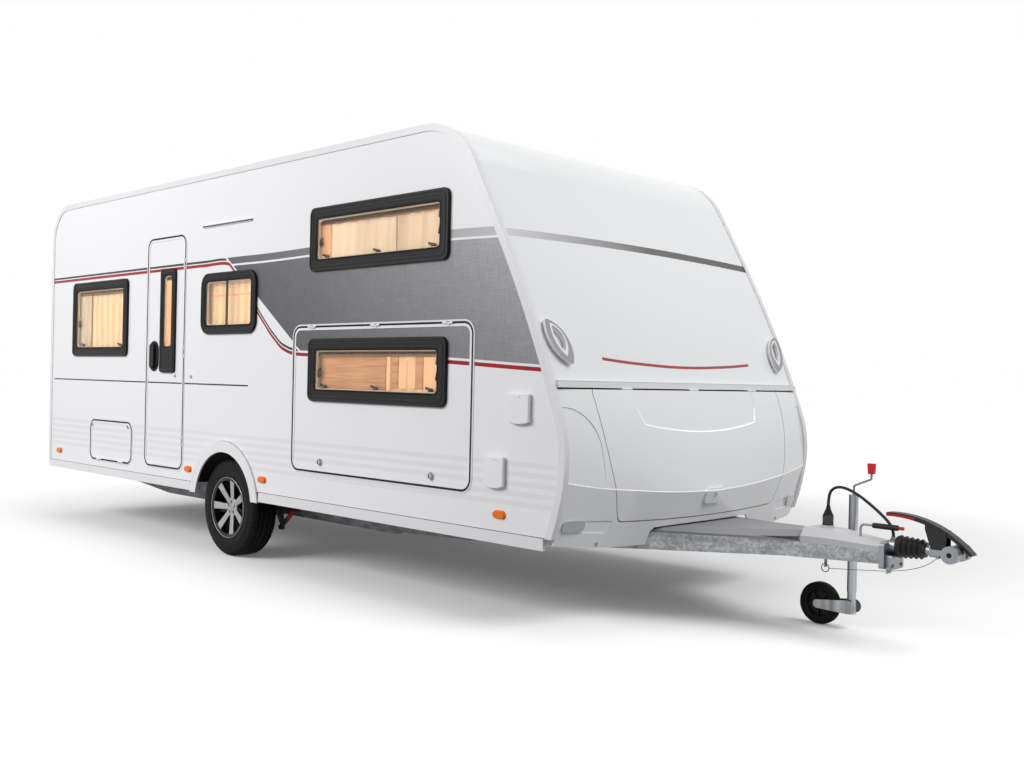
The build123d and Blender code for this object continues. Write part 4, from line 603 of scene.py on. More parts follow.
# Painted shade: a darker copy of the galvanised steel for the chassis under the body
shaded_galvanised, streaks = streaked("shaded_galvanised", colour(0.36, 0.37, 0.38), 0.5, 0.8, colour(0.27, 0.28, 0.29),
                               colour(0.44, 0.45, 0.46), 9, 4, (1, 1, 3))
shaded_galvanised.grain(0.0005, 0.4, 60, 3)
zinc_plate, brushed = streaked("zinc_plate", colour(0.66, 0.67, 0.68), 0.28, 0.95, colour(0.42, 0.43, 0.44),
                               colour(0.68, 0.69, 0.70), 30, 3, (1, 1, 0.05))
zinc_plate.rough(brushed, 0.22, 0.38)
zinc_plate.grain(0.0002, 0.3, 180, 2, (1, 1, 0.2))
cast = Finish("zinc_cast", colour(0.52, 0.53, 0.55), 0.35, Metallic=0.9).grain(0.0003, 0.6, 350, 3)
black_plastic = Finish("black_plastic", colour(0.085, 0.086, 0.09), 0.5, 0.15).grain(0.0001, 0.6, 900)
gaiter = Finish("gaiter_rubber", grey(0.055, 0.003), 0.5, 0.3).grain(0.0002, 0.5, 300)
cover_plastic = Finish("cover_plastic", grey(0.55, 0.015), 0.45).split(0, AXLE + 3.798, grey(0.78))
cover_plastic.grain(0.0001, 0.6, 800)
board = Finish("coated_board", colour(0.20, 0.19, 0.18), 0.75).grain(0.0008, 0.5, 30, 4, (1, 8, 1))
damper_paint = Finish("damper_paint", grey(0.07, 0.005), 0.35).split(2, 0.272, colour(0.78, 0.05, 0.07))
damper_paint.grain(0.0001, 0.4, 400)
dress(galvanised, "drawbar_rail_right", "drawbar_rail_left")
dress(shaded_galvanised, "axle", "side_member_right", "side_member_left", "cross_members", "chassis_brackets",
      "steady_front_right", "steady_front_left", "steady_rear_right", "steady_rear_left")
dress(zinc_plate, "jockey_outer_tube", "jockey_leg", "jockey_fork")
dress(cast, "coupling_head", "overrun_housing")
dress(gaiter, "coupling_bellows")
dress(cover_plastic, "drawbar_covers")
dress(board, "floor_panel", "locker_bulkhead")
dress(black_plastic, "wheel_boxes", "trailer_plug", "window_frames", "door_window_frame",
      "hatch_window_frame", "door_handle")
dress(damper_paint, "shock_absorbers")
print("chassis and plastics finished")

# %% [markdown]
# The jockey wheel's crank is bare steel with a red knob. The coupling levers are black, with red
# along the lower edge of the stabiliser's arm and on its end, a red button on the handbrake and
# a bare steel rod: each is a range of x and z, and a curve gives the arm's middle line.

# %% Levers
LEVER_RED = colour(0.75, 0.05, 0.08)
BUTTON = ((AXLE + 4.2682, AXLE + 4.2955), (0.57, 0.59), -0.016)     # x, z and the y that it lies beyond
ARM = [(AXLE + x, z) for x, z in ((4.20, 0.6430), (4.248, 0.6455), (4.315, 0.6415), (4.397, 0.6265),
                                  (4.458, 0.610))]
ARM_RED = (AXLE + 4.345, AXLE + 4.212, 0.62)    # x where the lower edge's and the end's red stop, and its foot
BARE_ROD = (AXLE + 4.1395, 0.60)                # x and z below which the handbrake's rod is bare

crank = Finish("crank_and_knob", colour(0.60, 0.61, 0.62), 0.35).split(2, 0.8119, colour(0.86, 0.03, 0.07))
dress(crank.grain(0.0001, 0.4, 600), "jockey_crank")
lever = Finish("lever_black", grey(0.07, 0.005), 0.4, 0.3)
x, y, z = lever.place()
button = lever.times(lever.between(x, *BUTTON[0]), lever.between(z, *BUTTON[1]), lever.under(y, BUTTON[2]))
middle = lever.curve(x, AXLE + 4.20, AXLE + 4.46, 0.6, 0.66, ARM)
low_half = lever.times(lever.under(z, middle), lever.under(x, ARM_RED[0]))
arm_edge = lever.times(lever.most(lever.under(x, ARM_RED[1]), low_half), lever.over(z, ARM_RED[2]))
bare_rod = lever.times(lever.under(x, BARE_ROD[0]), lever.under(z, BARE_ROD[1]))
tint = lever.base
for mask, second in ((bare_rod, colour(0.62, 0.63, 0.64)), (button, LEVER_RED), (arm_edge, LEVER_RED)):
    tint = lever.mix(mask, tint, second)
lever.paint(tint)
dress(lever.grain(0.0001, 0.5, 700), "coupling_levers")
print("levers finished")

# %% [markdown]
# ## Lamps
# A side marker is an amber lens. The rear clusters are red with an amber and a clear field, the lamp
# near the roof is red and the front lamps are clear. The lens ribs are a fine wave in the bump.

# %% Lenses
CLEAR = colour(0.70, 0.71, 0.73)
CLEAR_FIELD, AMBER_FIELD = (0.735, 0.80), (0.80, 0.88)      # z in the rear clusters

amber = Finish("amber_lens", colour(0.93, 0.46, 0.03), 0.3, 0.2)
amber.bump(amber.wave(60.0), 0.0004, 0.3)
dress(amber, "side_markers")
lens = Finish("lamp_lens", colour(0.75, 0.05, 0.05), 0.12, Coat_Weight=0.5)
x, y, z = lens.place()
tint = lens.mix(lens.between(z, *AMBER_FIELD), colour(0.72, 0.03, 0.04), colour(0.93, 0.47, 0.06))
tint = lens.mix(lens.between(z, *CLEAR_FIELD), tint, CLEAR)
lens.paint(lens.mix(lens.over(x, 0.0), tint, CLEAR))
lens.bump(lens.wave(45.0, "Z"), 0.0006, 0.5)
dress(lens, "end_lamps")
print("lenses finished")

# %% [markdown]
# ## Windows
# Each pane is bronze-tinted acrylic. Behind it a roller blind hangs in its cassette, lit from the
# cabin: warm cloth that gives off a little light of its own, in soft vertical bands.

# %% Panes and blinds
acrylic = Finish("tinted_acrylic", colour(0.95, 0.92, 0.88), 0.03, Transmission_Weight=0.97, IOR=1.14)
dress(acrylic.grain(0.002, 0.05, 5, 1), "window_panes", "hatch_window_pane", "door_window_pane")
lit_cloth = Finish("lit_cloth", colour(0.94, 0.85, 0.72), 0.85)
pleats = lit_cloth.wave(3.2, "X", 3.0, 2.0)
pleat_tint = lit_cloth.ramp(pleats, (0.0, colour(0.90, 0.78, 0.63)), (0.5, colour(0.94, 0.83, 0.69)),
                            (1.0, colour(0.96, 0.87, 0.75)))
lit_cloth.paint(pleat_tint)
lit_cloth.glow(pleat_tint, 0.12)
lit_cloth.bump(pleats, 0.001, 0.2)
dress(lit_cloth, "blinds", "hatch_blind")
print("panes and blinds finished")

# %% [markdown]
# ## Wheels and tyres
# The alloy wheels are painted black, and only the faces of their spokes and the lip of the rim are
# machined bright. The jockey wheel is black rubber on a black rim.

# %% Wheel finishes
alloy = Finish("wheel_black", grey(0.045, 0.005), 0.4, 0.3).grain(0.0002, 0.3, 200)
dress(alloy, "wheel_right", "wheel_left")
machined, turned = streaked("machined_alloy", grey(0.62), 0.34, 0.75, grey(0.56), grey(0.67), 220, 2, (1, 8, 1))
machined.bump(turned, 0.0002, 0.3)
rubber = Finish("tyre_rubber", grey(0.045, 0.003), 0.6, 0.12).grain(0.0004, 0.5, 250, 3)
alloy_grey = Finish("alloy_grey", grey(0.60), 0.35, Metallic=0.8).grain(0.0002, 0.3, 300)
print("wheel finishes ready")


# %% [markdown]
# A tyre is a spun section: a bead, a bulging sidewall with a fine rib, a rounded shoulder and a flat
# tread with four grooves round it. Every other step of the shoulder is then sunk a few millimetres
# with an inset, and that cuts the blocks. The centre cap covers the hub's bore. The bright face of
# the wheel is a hub ring, a lip and seven tapered spokes that rise from the hub out to the lip.

# %% Wheel sections
def profile(*points):
    """A section in millimetres, (along the axis, radius), as a profile in metres."""
    return [(along / 1000, radius / 1000) for along, radius in points]


def mirrored(*half):
    """The whole of a symmetrical section from its outer half."""
    return profile(*half, *((-along, radius) for along, radius in reversed(half) if along))


TYRE = mirrored((84.5, 193), (90, 206), (93.5, 209.8), (96.5, 216), (98, 224), (101, 243), (102.4, 262),
                (101.6, 268), (99.6, 270), (98.2, 285), (95, 300), (91, 312), (86, 321), (78, 328.5), (66, 332.6),
                (58.2, 333.2), (57, 326.4), (50, 326.4), (48.8, 333.6), (24.2, 334), (23, 327), (16, 327),
                (14.8, 334))
CAP = profile((57.8, 0), (57.8, 29), (65, 28.6), (67, 26.5), (67, 20), (65.6, 19), (65.6, 13), (68, 11.5),
              (68.6, 0))
HUB_RING = profile((58, 30), (58, 68), (64, 66), (66, 63), (66, 30))
LIP_RING = profile((93.5, 204.5), (99, 204.5), (99.5, 206.5), (98.5, 208.8), (93.5, 208.8))
STEPS = 120                     # steps of the tyre's spin
SHOULDER = (0.0655, 0.0900)     # where the blocks lie along the axis
BLOCKS_FROM = 0.310             # and their smallest radius
SPOKES, SPOKE_ENDS = 7, (0.040, 0.204)
#           width, place along the axis: at the hub, then at the lip
SPOKE_HUB, SPOKE_LIP, SPOKE_DEPTH = (0.036, 0.0610), (0.054, 0.0900), 0.010
BOLTS, BOLT_CIRCLE, RECESS = 5, 0.045, 0.0125
print(len(TYRE), "points round the tyre's section")


# %% Tyres and wheel faces
def cut_blocks(mesh, centre, axis):
    """Sinks every other step of the tyre's shoulders; gives how many."""
    bmesh.ops.remove_doubles(mesh, verts=mesh.verts, dist=1e-6)
    bmesh.ops.recalc_face_normals(mesh, faces=mesh.faces)
    mesh.normal_update()
    lugs = []
    for face in mesh.faces:
        reach = face.calc_center_median() - centre
        along = abs(reach.dot(axis))
        step = int((math.atan2(reach.z, reach.x) % math.tau) / (math.tau / STEPS))
        radius = (reach - reach.dot(axis) * axis).length
        if SHOULDER[0] < along < SHOULDER[1] and radius > BLOCKS_FROM and step % 2:
            lugs.append(face)
    bmesh.ops.inset_region(mesh, faces=lugs, thickness=0.003, depth=-0.004, use_even_offset=True)
    return len(lugs)


def add_spoke(mesh, place):
    """A bright bar that widens and rises from the hub to the lip."""
    spoke = block(mesh, (SPOKE_ENDS[0], -0.5, -0.5), (SPOKE_ENDS[1], 0.5, 0.5))
    for point in spoke:
        width, height = SPOKE_LIP if point.co.x > sum(SPOKE_ENDS) / 2 else SPOKE_HUB
        point.co.y *= width
        point.co.z = height + point.co.z * SPOKE_DEPTH
    bmesh.ops.transform(mesh, verts=spoke, matrix=place)


for side, name in ((-1, "right"), (1, "left")):
    body = "road_wheel_" + name
    low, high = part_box("tyre_" + name)
    centre, axis = (Vector(low) + Vector(high)) / 2, Vector((0, side, 0))
    tyre, cap, face, recesses = bmesh.new(), bmesh.new(), bmesh.new(), bmesh.new()
    ring(tyre, TYRE, centre, axis, STEPS)
    lugs = cut_blocks(tyre, centre, axis)
    tread = finish_piece("tyre_tread_" + name, tyre, rubber, body, smooth=30)
    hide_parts("tyre_" + name)
    ring(cap, CAP, centre, axis)
    finish_piece("centre_cap_" + name, cap, alloy_grey, body)
    ring(face, HUB_RING, centre, axis, 60)
    ring(face, LIP_RING, centre, axis, 96)
    hub = stand(centre, Vector((1, 0, 0)), Vector((0, 0, 1)), axis)
    for turn in range(SPOKES):
        add_spoke(face, hub @ Matrix.Rotation(math.pi + math.tau * turn / SPOKES, 4, "Z"))
    for turn in range(BOLTS):
        lean = math.pi / 2 + math.tau * turn / BOLTS
        at = centre + Vector((BOLT_CIRCLE * math.cos(lean), 0, BOLT_CIRCLE * math.sin(lean)))
        rod(recesses, at + axis * 0.0655, at + axis * 0.0666, RECESS, None, 24)
    finish_piece("wheel_face_" + name, face, machined, body, soften=0.0025)
    finish_piece("bolt_recesses_" + name, recesses, alloy, body)
print(lugs, "shoulder blocks on each tyre")

# %% [markdown]
# The jockey wheel is a solid rubber tyre on a black plastic wheel with five webs between its hub and
# its rim. Both are spun, and each web is a small block turned round the hub.

# %% Jockey wheel
low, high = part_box("jockey_wheel")
centre, axis = (Vector(low) + Vector(high)) / 2, Vector((0, -1, 0))
WEBS, FIRST_WEB = 5, 0.4
mesh = bmesh.new()
ring(mesh, mirrored((24, 79), (29, 84), (30, 92), (28, 100), (22.5, 107), (14, 110.7), (9, 111), (8, 107.5),
                    (4, 107.5), (3, 111)), centre, axis, 72)
jockey_tyre = finish_piece("jockey_tyre", mesh, rubber, "jockey_roller", smooth=30)
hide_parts("jockey_wheel")
mesh = bmesh.new()
ring(mesh, mirrored((28, 8.6), (28, 20), (24, 23), (7, 26), (6, 62), (20, 68), (25, 73), (25, 78.6), (8, 78.6)),
     centre, axis, 60)
for turn in range(WEBS):
    web = block(mesh, (0.022, -0.019, -0.004), (0.066, 0.019, 0.004))
    bmesh.ops.transform(mesh, verts=web, matrix=Matrix.Translation(centre)
                        @ Matrix.Rotation(math.tau * turn / WEBS + FIRST_WEB, 4, "Y"))
jockey_rim = finish_piece("jockey_rim", mesh, black_plastic, "jockey_roller")
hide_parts("jockey_wheel")
print("jockey wheel of", len(jockey_tyre.data.polygons) + len(jockey_rim.data.polygons), "faces")

# %% [markdown]
# ## What each window carries
# A caravan window is a double pane of acrylic that swings out in a black frame. Seen from outside it
# shows a pale seal round the pane, black catches along its lower edge and sides, the brown rail of
# the blind's cassette at the top, and a lit curtain. All windows are dressed by the same code, in a
# frame of their own: u runs along the wall, w up, and d outwards from the wall's face. A matrix then
# puts the pieces on the wall.

# %% Window table and its matrices
WALL_WINDOWS = [
    # name, side, u0, u1, w0, w1, side rim, foot rim, body, catches below, catches at the sides
    ("rear_right", -1, -2.422, -1.443, 1.371, 1.975, 0.058, 0.058, "caravan", 2, 1),
    ("kitchen", -1, -0.323, 0.379, 1.524, 1.947, 0.048, 0.048, "caravan", 0, 1),
    ("upper", -1, 0.981, 2.258, 1.892, 2.283, 0.060, 0.060, "caravan", 3, 2),
    ("hatch", -1, 0.986, 2.259, 1.096, 1.479, 0.060, 0.060, "hatch", 3, 2),
    ("door", -1, -0.915, -0.695, 1.250, 2.012, 0.038, 0.180, "door", 0, 0),
    ("rear_left", 1, -2.422, -1.443, 1.371, 1.975, 0.058, 0.058, "caravan", 2, 1),
    ("dinette", 1, -0.560, 0.640, 1.371, 1.975, 0.058, 0.058, "caravan", 3, 1),
    ("bunk", 1, 1.180, 2.160, 1.371, 1.975, 0.058, 0.058, "caravan", 3, 1),
    ("back", 0, -0.500, 0.500, 1.370, 1.970, 0.058, 0.058, "caravan", 3, 1),
]
REAR = AXLE - 2.875             # outer face of the rear wall


def wall_matrix(side):
    """From (u, w, d) to the caravan: the right wall is side -1, the left wall 1 and the rear 0."""
    if side:
        return stand(Vector((AXLE, side * WALL, 0)), Vector((1, 0, 0)), Vector((0, 0, 1)), Vector((0, side, 0)))
    return stand(Vector((REAR, 0, 0)), Vector((0, 1, 0)), Vector((0, 0, 1)), Vector((-1, 0, 0)))


def rounded_band(mesh, u0, u1, w0, w1, grow, radius, width, d0, d1, steps=6):
    """Adds a band of a rounded rectangle's edge, grow larger all round and width wide inwards, from d0 to d1."""
    u0, u1, w0, w1 = u0 - grow, u1 + grow, w0 - grow, w1 + grow
    band = bmesh.new()
    made = bmesh.ops.create_grid(band, x_segments=1, y_segments=1, size=0.5,
                                 matrix=Matrix.Translation(((u0 + u1) / 2, (w0 + w1) / 2, d0))
                                 @ Matrix.Diagonal((u1 - u0, w1 - w0, 1, 1)))
    bmesh.ops.bevel(band, geom=made["verts"], offset=radius, affect="VERTICES", segments=steps, profile=0.5,
                    material=-1)
    face = max(band.faces, key=lambda f: f.calc_area())
    bmesh.ops.inset_region(band, faces=[face], thickness=width, use_boundary=True, use_even_offset=True)
    bmesh.ops.delete(band, geom=[face], context="FACES_ONLY")
    out = bmesh.ops.extrude_face_region(band, geom=list(band.faces))
    raised = [v for v in out["geom"] if isinstance(v, bmesh.types.BMVert)]
    bmesh.ops.translate(band, verts=raised, vec=(0, 0, d1 - d0))
    spare = bpy.data.meshes.new("spare")
    band.to_mesh(spare)
    band.free()
    mesh.from_mesh(spare)
    bpy.data.meshes.remove(spare)


print(f"{len(WALL_WINDOWS)} windows")

# %% [markdown]
# Their finishes: a cream rubber seal, glossy black catches, brown cassette rail, and cloth. Cloth
# lit from behind shows its folds as lighter and darker bands, so it gets a weave, a soft sheen and
# a little light of its own.

# %% Window finishes
seal_cream = Finish("seal_cream", colour(0.90, 0.85, 0.77), 0.4).grain(0.0002, 0.3, 300)
catch_black = Finish("catch_black", colour(0.055, 0.045, 0.045), 0.35, 0.3).grain(0.0001, 0.4, 900)
cassette_brown = Finish("cassette_brown", colour(0.42, 0.26, 0.17), 0.45)
ribs = cassette_brown.wave(22.0, "Z")
rail_tint = cassette_brown.ramp(ribs, (0.0, colour(0.20, 0.11, 0.07)), (0.5, colour(0.47, 0.29, 0.18)),
                                (1.0, colour(0.66, 0.47, 0.33)))
cassette_brown.paint(rail_tint)
# Painted light: the rail glows a little, standing for the lit cabin behind it
cassette_brown.glow(rail_tint, 0.10)
cassette_brown.bump(ribs, 0.002, 0.5)
border_black = Finish("border_black", colour(0.03, 0.028, 0.03), 0.45, 0.08).grain(0.0001, 0.2, 500)
# The cassette's head is dark brown: partly its own colour, partly painted shade under the frame's top
head_brown_and_shade = Finish("head_brown_and_shade", colour(0.20, 0.12, 0.07), 0.5, 0.2).grain(0.0002, 0.3, 200)


def lit_fabric(name, dark, light, glow):
    """Curtain cloth: a fine weave and soft bands, glowing a little as cloth does with light behind it."""
    fabric = Finish(name, light, 0.9, Sheen_Weight=0.3, Sheen_Roughness=0.5)
    tint = fabric.ramp(fabric.noise(5.0, 2, (1, 1, 0.04)), (0.3, dark), (0.62, light))
    fabric.paint(tint)
    fabric.glow(tint, glow)
    fabric.bump(fabric.times(fabric.wave(260.0, "Z"), fabric.wave(260.0, "X")), 0.0004, 0.4)
    return fabric


curtain_cream = lit_fabric("curtain_cream", colour(0.80, 0.73, 0.65), colour(0.94, 0.88, 0.79), 0.12)
curtain_peach = lit_fabric("curtain_peach", colour(0.86, 0.65, 0.46), colour(0.93, 0.74, 0.56), 0.28)
print("window finishes ready")

# %% [markdown]
# A curtain is a sheet that is cut wider than the window and gathered, so it hangs in folds. It is a
# fine grid whose points move out and in along u, with a slow wave and a quicker one.

# %% Curtains and catches
MARGIN = 0.006                  # between a curtain and the edge of the pane
UNDER_RAIL = 0.044              # from the pane's top to the curtain's
# For each window: suffix, cloth, start and end as shares of the pane's width, folds, phase, d and reach.
CURTAINS = {
    "door": [("", curtain_peach, 0, 1, 4, 0.0, -0.010, 0.004)],
    "upper": [("_a", curtain_peach, 0, 0.09, 2.0, 1.2, -0.029, 0.008),
              ("_b", curtain_cream, 0.10, 0.63, 5.0, 0.4, -0.029, 0.008),
              ("_c", curtain_cream, 0.64, 1, 3.5, 2.2, -0.029, 0.008)],
    "kitchen": [], "hatch": [],
}
ONE_CURTAIN = [("", curtain_cream, 0, 0.24, 2.0, 0.7, -0.029, 0.006)]


def gathered(mesh, u0, u1, w0, w1, depth, reach, folds, phase):
    """A hanging sheet with folds; gives the flat width of its rows."""
    columns = int(folds * 16)
    bmesh.ops.create_grid(mesh, x_segments=columns, y_segments=8, size=0.5,
                          matrix=Matrix.Translation(((u0 + u1) / 2, (w0 + w1) / 2, depth))
                          @ Matrix.Diagonal((u1 - u0, w1 - w0, 1, 1)))
    for point in mesh.verts:
        share = (point.co.x - u0) / (u1 - u0)
        drop = (w1 - point.co.y) / (w1 - w0)
        turn = share * folds * math.tau + phase
        slow = math.sin(turn + 0.9 * math.sin(share * 9 + phase))
        wave = slow * 0.75 + 0.25 * math.sin(2.3 * turn + 1 + drop)
        point.co.z += reach * wave * (0.8 + 0.2 * drop)
    mesh.verts.ensure_lookup_table()
    row = sorted((v for v in mesh.verts if abs(v.co.y - w0) < 1e-5), key=lambda v: v.co.x)
    return sum((b.co - a.co).length for a, b in zip(row, row[1:]))


def hang_curtain(name, place, body, fabric, u0, u1, w0, w1, folds, phase, depth, reach):
    """One curtain, gathered on its carrier."""
    mesh = bmesh.new()
    width = gathered(mesh, u0, u1, w0, w1, depth, reach, folds, phase)
    piece = finish_piece(name, mesh, fabric, body, smooth=60, place=place)
    skin = piece.modifiers.new("cloth", "SOLIDIFY")
    skin.thickness, skin.offset = 0.0012, 0


def catch(mesh, u, w, turn=0):
    """A window catch: a foot on the pane's rim, a round boss and a hooked lever; turn is in degrees."""
    parts = list(block(mesh, (-0.026, 0, -0.016), (0.026, 0.010, -0.006)))
    parts += rod(mesh, (0.006, 0.014, -0.019), (0.006, 0.014, -0.004), 0.017, 0.015, 20)
    lever = block(mesh, (-0.036, 0.016, -0.013), (0.010, 0.030, -0.005))
    bmesh.ops.rotate(mesh, verts=lever, cent=(0.006, 0.022, -0.010),
                     matrix=Matrix.Rotation(math.radians(-12), 3, "Z"))
    parts += lever
    spot = Matrix.Translation((u, w, 0)) @ Matrix.Rotation(math.radians(turn), 4, "Z")
    bmesh.ops.transform(mesh, verts=parts, matrix=spot)


print("curtains for", len(WALL_WINDOWS) - 2, "windows")

# %% [markdown]
# The seal stands just inside the pane, the border is printed on its edge, and the cassette hangs
# behind its top. Catches sit at shares of the pane's width and height.

# %% Seals, catches, borders and cassettes
CATCHES_BELOW = {0: (), 2: (0.12, 0.88), 3: (0.07, 0.5, 0.92)}
CATCHES_BESIDE = (0.45, 0.78)
LEFT_CATCH = 0.42
CATCH_IN = 0.010                # from the pane's edge to a catch
BACK = -0.040                   # d of the cassettes' backs
#           drop from the pane's top, height and d of the front, for the bar and for the ribbed rail
BAR, RAIL = ((0.0, 0.022, -0.012), (0.023, 0.010, -0.018)), ((0.034, 0.013, -0.022),)
PLAIN_RAIL = ((0.0, 0.014, -0.030),)


def dress_window(name, side, u0, u1, w0, w1, rim, foot, body, below, beside):
    """Seal, catches, border and cassette of one window; gives its matrix and the pane's edges."""
    place = wall_matrix(side)
    pane = left, right, low, top = u0 + rim, u1 - rim, w0 + foot, w1 - rim
    seal, catches, border = bmesh.new(), bmesh.new(), bmesh.new()
    rounded_band(seal, *pane, -0.011, 0.030, 0.008, -0.010, 0.001)
    finish_piece("seal_" + name, seal, seal_cream, body, place=place)
    for share in CATCHES_BELOW[below]:
        catch(catches, left + share * (right - left), low + CATCH_IN)
    for share in CATCHES_BESIDE[:beside]:
        catch(catches, right - CATCH_IN, low + (top - low) * share, 90)
    if beside and name != "kitchen":
        catch(catches, left + CATCH_IN, low + (top - low) * LEFT_CATCH, -90)
    if below or beside:
        finish_piece("catches_" + name, catches, catch_black, body, soften=0.0015,
                     place=place)
    rounded_band(border, *pane, -0.0003, 0.034, 0.013, 0.0147, 0.0153)
    finish_piece("pane_border_" + name, border, border_black, body, place=place)
    parts = [("cassette_head_", head_brown_and_shade, BAR), ("cassette_rail_", cassette_brown, RAIL)]
    if name in ("kitchen", "door"):
        parts = [("cassette_rail_", cassette_brown, PLAIN_RAIL)]
    for title, finish, steps in parts:
        mesh = bmesh.new()
        for drop, height, depth in steps:
            block(mesh, (left + 0.003, top - drop - height, BACK), (right - 0.003, top - drop, depth))
        finish_piece(title + name, mesh, finish, body, soften=0.002, place=place)
    return place, left, right, low, top


for row in WALL_WINDOWS:
    name, body = row[0], row[8]
    place, left, right, low, top = dress_window(*row)
    for suffix, fabric, start, end, folds, phase, depth, reach in CURTAINS.get(name, ONE_CURTAIN):
        u0 = left + start * (right - left) if start else left + MARGIN
        u1 = left + end * (right - left) if end < 1 else right - MARGIN
        hang_curtain("curtain_" + name + suffix, place, body, fabric, u0, u1, low + MARGIN, top - UNDER_RAIL,
                     folds, phase, depth, reach)
    if name == "kitchen":
        mesh = bmesh.new()
        block(mesh, (left + 0.004, 1.788, BACK - 0.0005), (right - 0.004, 1.800, -0.037))
        finish_piece("blind_batten_kitchen", mesh, curtain_peach, body, soften=0.001,
                     place=place)
print("windows dressed")

# %% [markdown]
# Behind the hatch's window the lit inside of the boot shows: a beige lining with a wide panel, a
# pale post and a small cupboard front of two boards. They are thin boards with softened edges,
# standing just in front of the blind.

# %% Lining behind the hatch window
LEFT, RIGHT, LOW, TOP = 1.050, 2.195, 1.160, 1.414
# Boards: start and end as shares of the width, rise of the foot, drop of the top and d of the face.
PANELS = [(0, 0.56, 0, 0.045, -0.034), (0.61, 0.655, 0.03, 0.045, -0.032), (0.79, 0.845, 0.03, 0.045, -0.032)]
POSTS = [(0.57, 0.60, 0, 0.045, -0.030), (0.66, 0.722, 0.03, 0.065, -0.036), (0.727, 0.789, 0.03, 0.065, -0.036),
         (0.85, 1, 0, 0.045, -0.034)]

lining = Finish("beige_lining", colour(0.76, 0.57, 0.44), 0.7)
grain = lining.noise(4, 5, (1, 1, 16))
lining_tint = lining.ramp(grain, (0.35, colour(0.73, 0.53, 0.39)), (0.65, colour(0.83, 0.65, 0.51)))
lining.paint(lining_tint)
# Painted light: the lining glows a little, as if lit inside the boot
lining.glow(lining_tint, 0.06)
lining.bump(grain, 0.0004, 0.3)
lining_light = Finish("pale_lining", colour(0.93, 0.77, 0.63), 0.7)
# Painted light: the posts glow more
lining_light.glow(colour(0.95, 0.78, 0.62), 0.20)
lining_light.grain(0.0003, 0.3, 40, 3, (1, 1, 8))
for name, finish, boards in (("boot_lining", lining, PANELS), ("boot_posts", lining_light, POSTS)):
    mesh = bmesh.new()
    for start, end, foot, drop, depth in boards:
        block(mesh, (LEFT + start * (RIGHT - LEFT), LOW + foot, BACK - 0.0005),
              (LEFT + end * (RIGHT - LEFT), TOP - drop, depth))
    finish_piece(name, mesh, finish, "hatch", soften=0.0015, place=wall_matrix(-1))
print("boot lining in place")

# %% [markdown]
# The black frames are mouldings with a raised bead and, except on the door, a raised outer edge.
# Both are thin bands with rounded edges that catch the light.

# %% Beads on the frames
frame_gloss = Finish("frame_gloss", colour(0.085, 0.08, 0.085), 0.4, 0.2).grain(0.0002, 0.3, 200)
for name, side, u0, u1, w0, w1, rim, foot, body, *_ in WALL_WINDOWS:
    mesh = bmesh.new()
    rounded_band(mesh, u0, u1, w0, w1, -0.45 * rim, 0.036, 0.008, 0.0150, 0.0185)
    if name != "door":
        corner = 0.087 if name == "kitchen" else 0.044
        rounded_band(mesh, u0, u1, w0, w1, -0.003, corner, 0.010, 0.0150, 0.0190)
    finish_piece("frame_bead_" + name, mesh, frame_gloss, body, soften=0.0014,
                 place=wall_matrix(side))
print("beads on", len(WALL_WINDOWS), "frames")

# %% [markdown]
# ## Seals, locks and small fittings
# A soft black seal fills the gap round the door, the hatch and the service flaps. It stays on the
# caravan when they open. It is the same rounded band as the window seals, set into the gap, with a
# thin lip that lies on the frame. Its black and the width of its lip are also painted shade: they
# stand for the shadow in the gap.

# %% Seals in the gaps
LEAVES = [("door", -1, -1.126, -0.580, 0.559, 2.238), ("hatch", -1, 0.821, 2.446, 0.668, 1.547),
          ("service", -1, -2.062, -1.362, 0.545, 0.846), ("cassette", 1, 0.900, 1.260, 0.640, 0.960)]
GAP, CLEAR, LIP, CORNER = 0.006, 0.0006, 0.006, 0.060
OFF_LEAF = 0.0012               # between the seal and the leaf
black_seal_and_shade = Finish("black_seal_and_shade", colour(0.02, 0.02, 0.02), 0.6, 0.2).grain(0.0002, 0.4, 400)
# Painted shade: the black seal and its lip on the frame also stand for the shadow in the gap
for name, side, *leaf in LEAVES:
    mesh = bmesh.new()
    for reach, d0, d1 in ((GAP - CLEAR, -0.014, 0.0034), (GAP + LIP, 0.0034, 0.0042)):
        rounded_band(mesh, *leaf, reach, CORNER + reach, reach - OFF_LEAF, d0, d1, 10)
    finish_piece("gap_seal_" + name, mesh, black_seal_and_shade, place=wall_matrix(side))
print(len(LEAVES), "gap seals")

# %% [markdown]
# Each lock has a chromed barrel with a key slot in its round face: a thin black block, painted
# shade for the hollow of the slot. The grip of the handbrake is ribbed, the friction pads of the
# coupling have a dark bolt in the middle of their discs, and a round cap hangs at the trailer plug.

# %% Locks
LOCKS = [("hatch", 1.0, ((1.115, 0.724), (2.143, 0.719))),
         ("service_door", 0.6, ((-2.034, 0.816), (-1.411, 0.820)))]     # body, size, places
BARREL = (0.0215, 0.0170, 0.0135)           # radius at the foot and at the face, and length
SLOT = (0.0032, 0.0105)                     # half the key slot's width and height
chrome = Finish("chrome", grey(0.60, 0.02), 0.2, Metallic=1.0).grain(0.0001, 0.1, 200, 1)


def lock_pieces(names, barrel, slot, body, place=None):
    """The barrels in chrome and their key slots in black."""
    for name, mesh, finish, kind in ((names[0], barrel, chrome, "cast_steel"),
                                     (names[1], slot, black_seal_and_shade, "black_plastic")):
        finish_piece(name, mesh, finish, body, place=place)


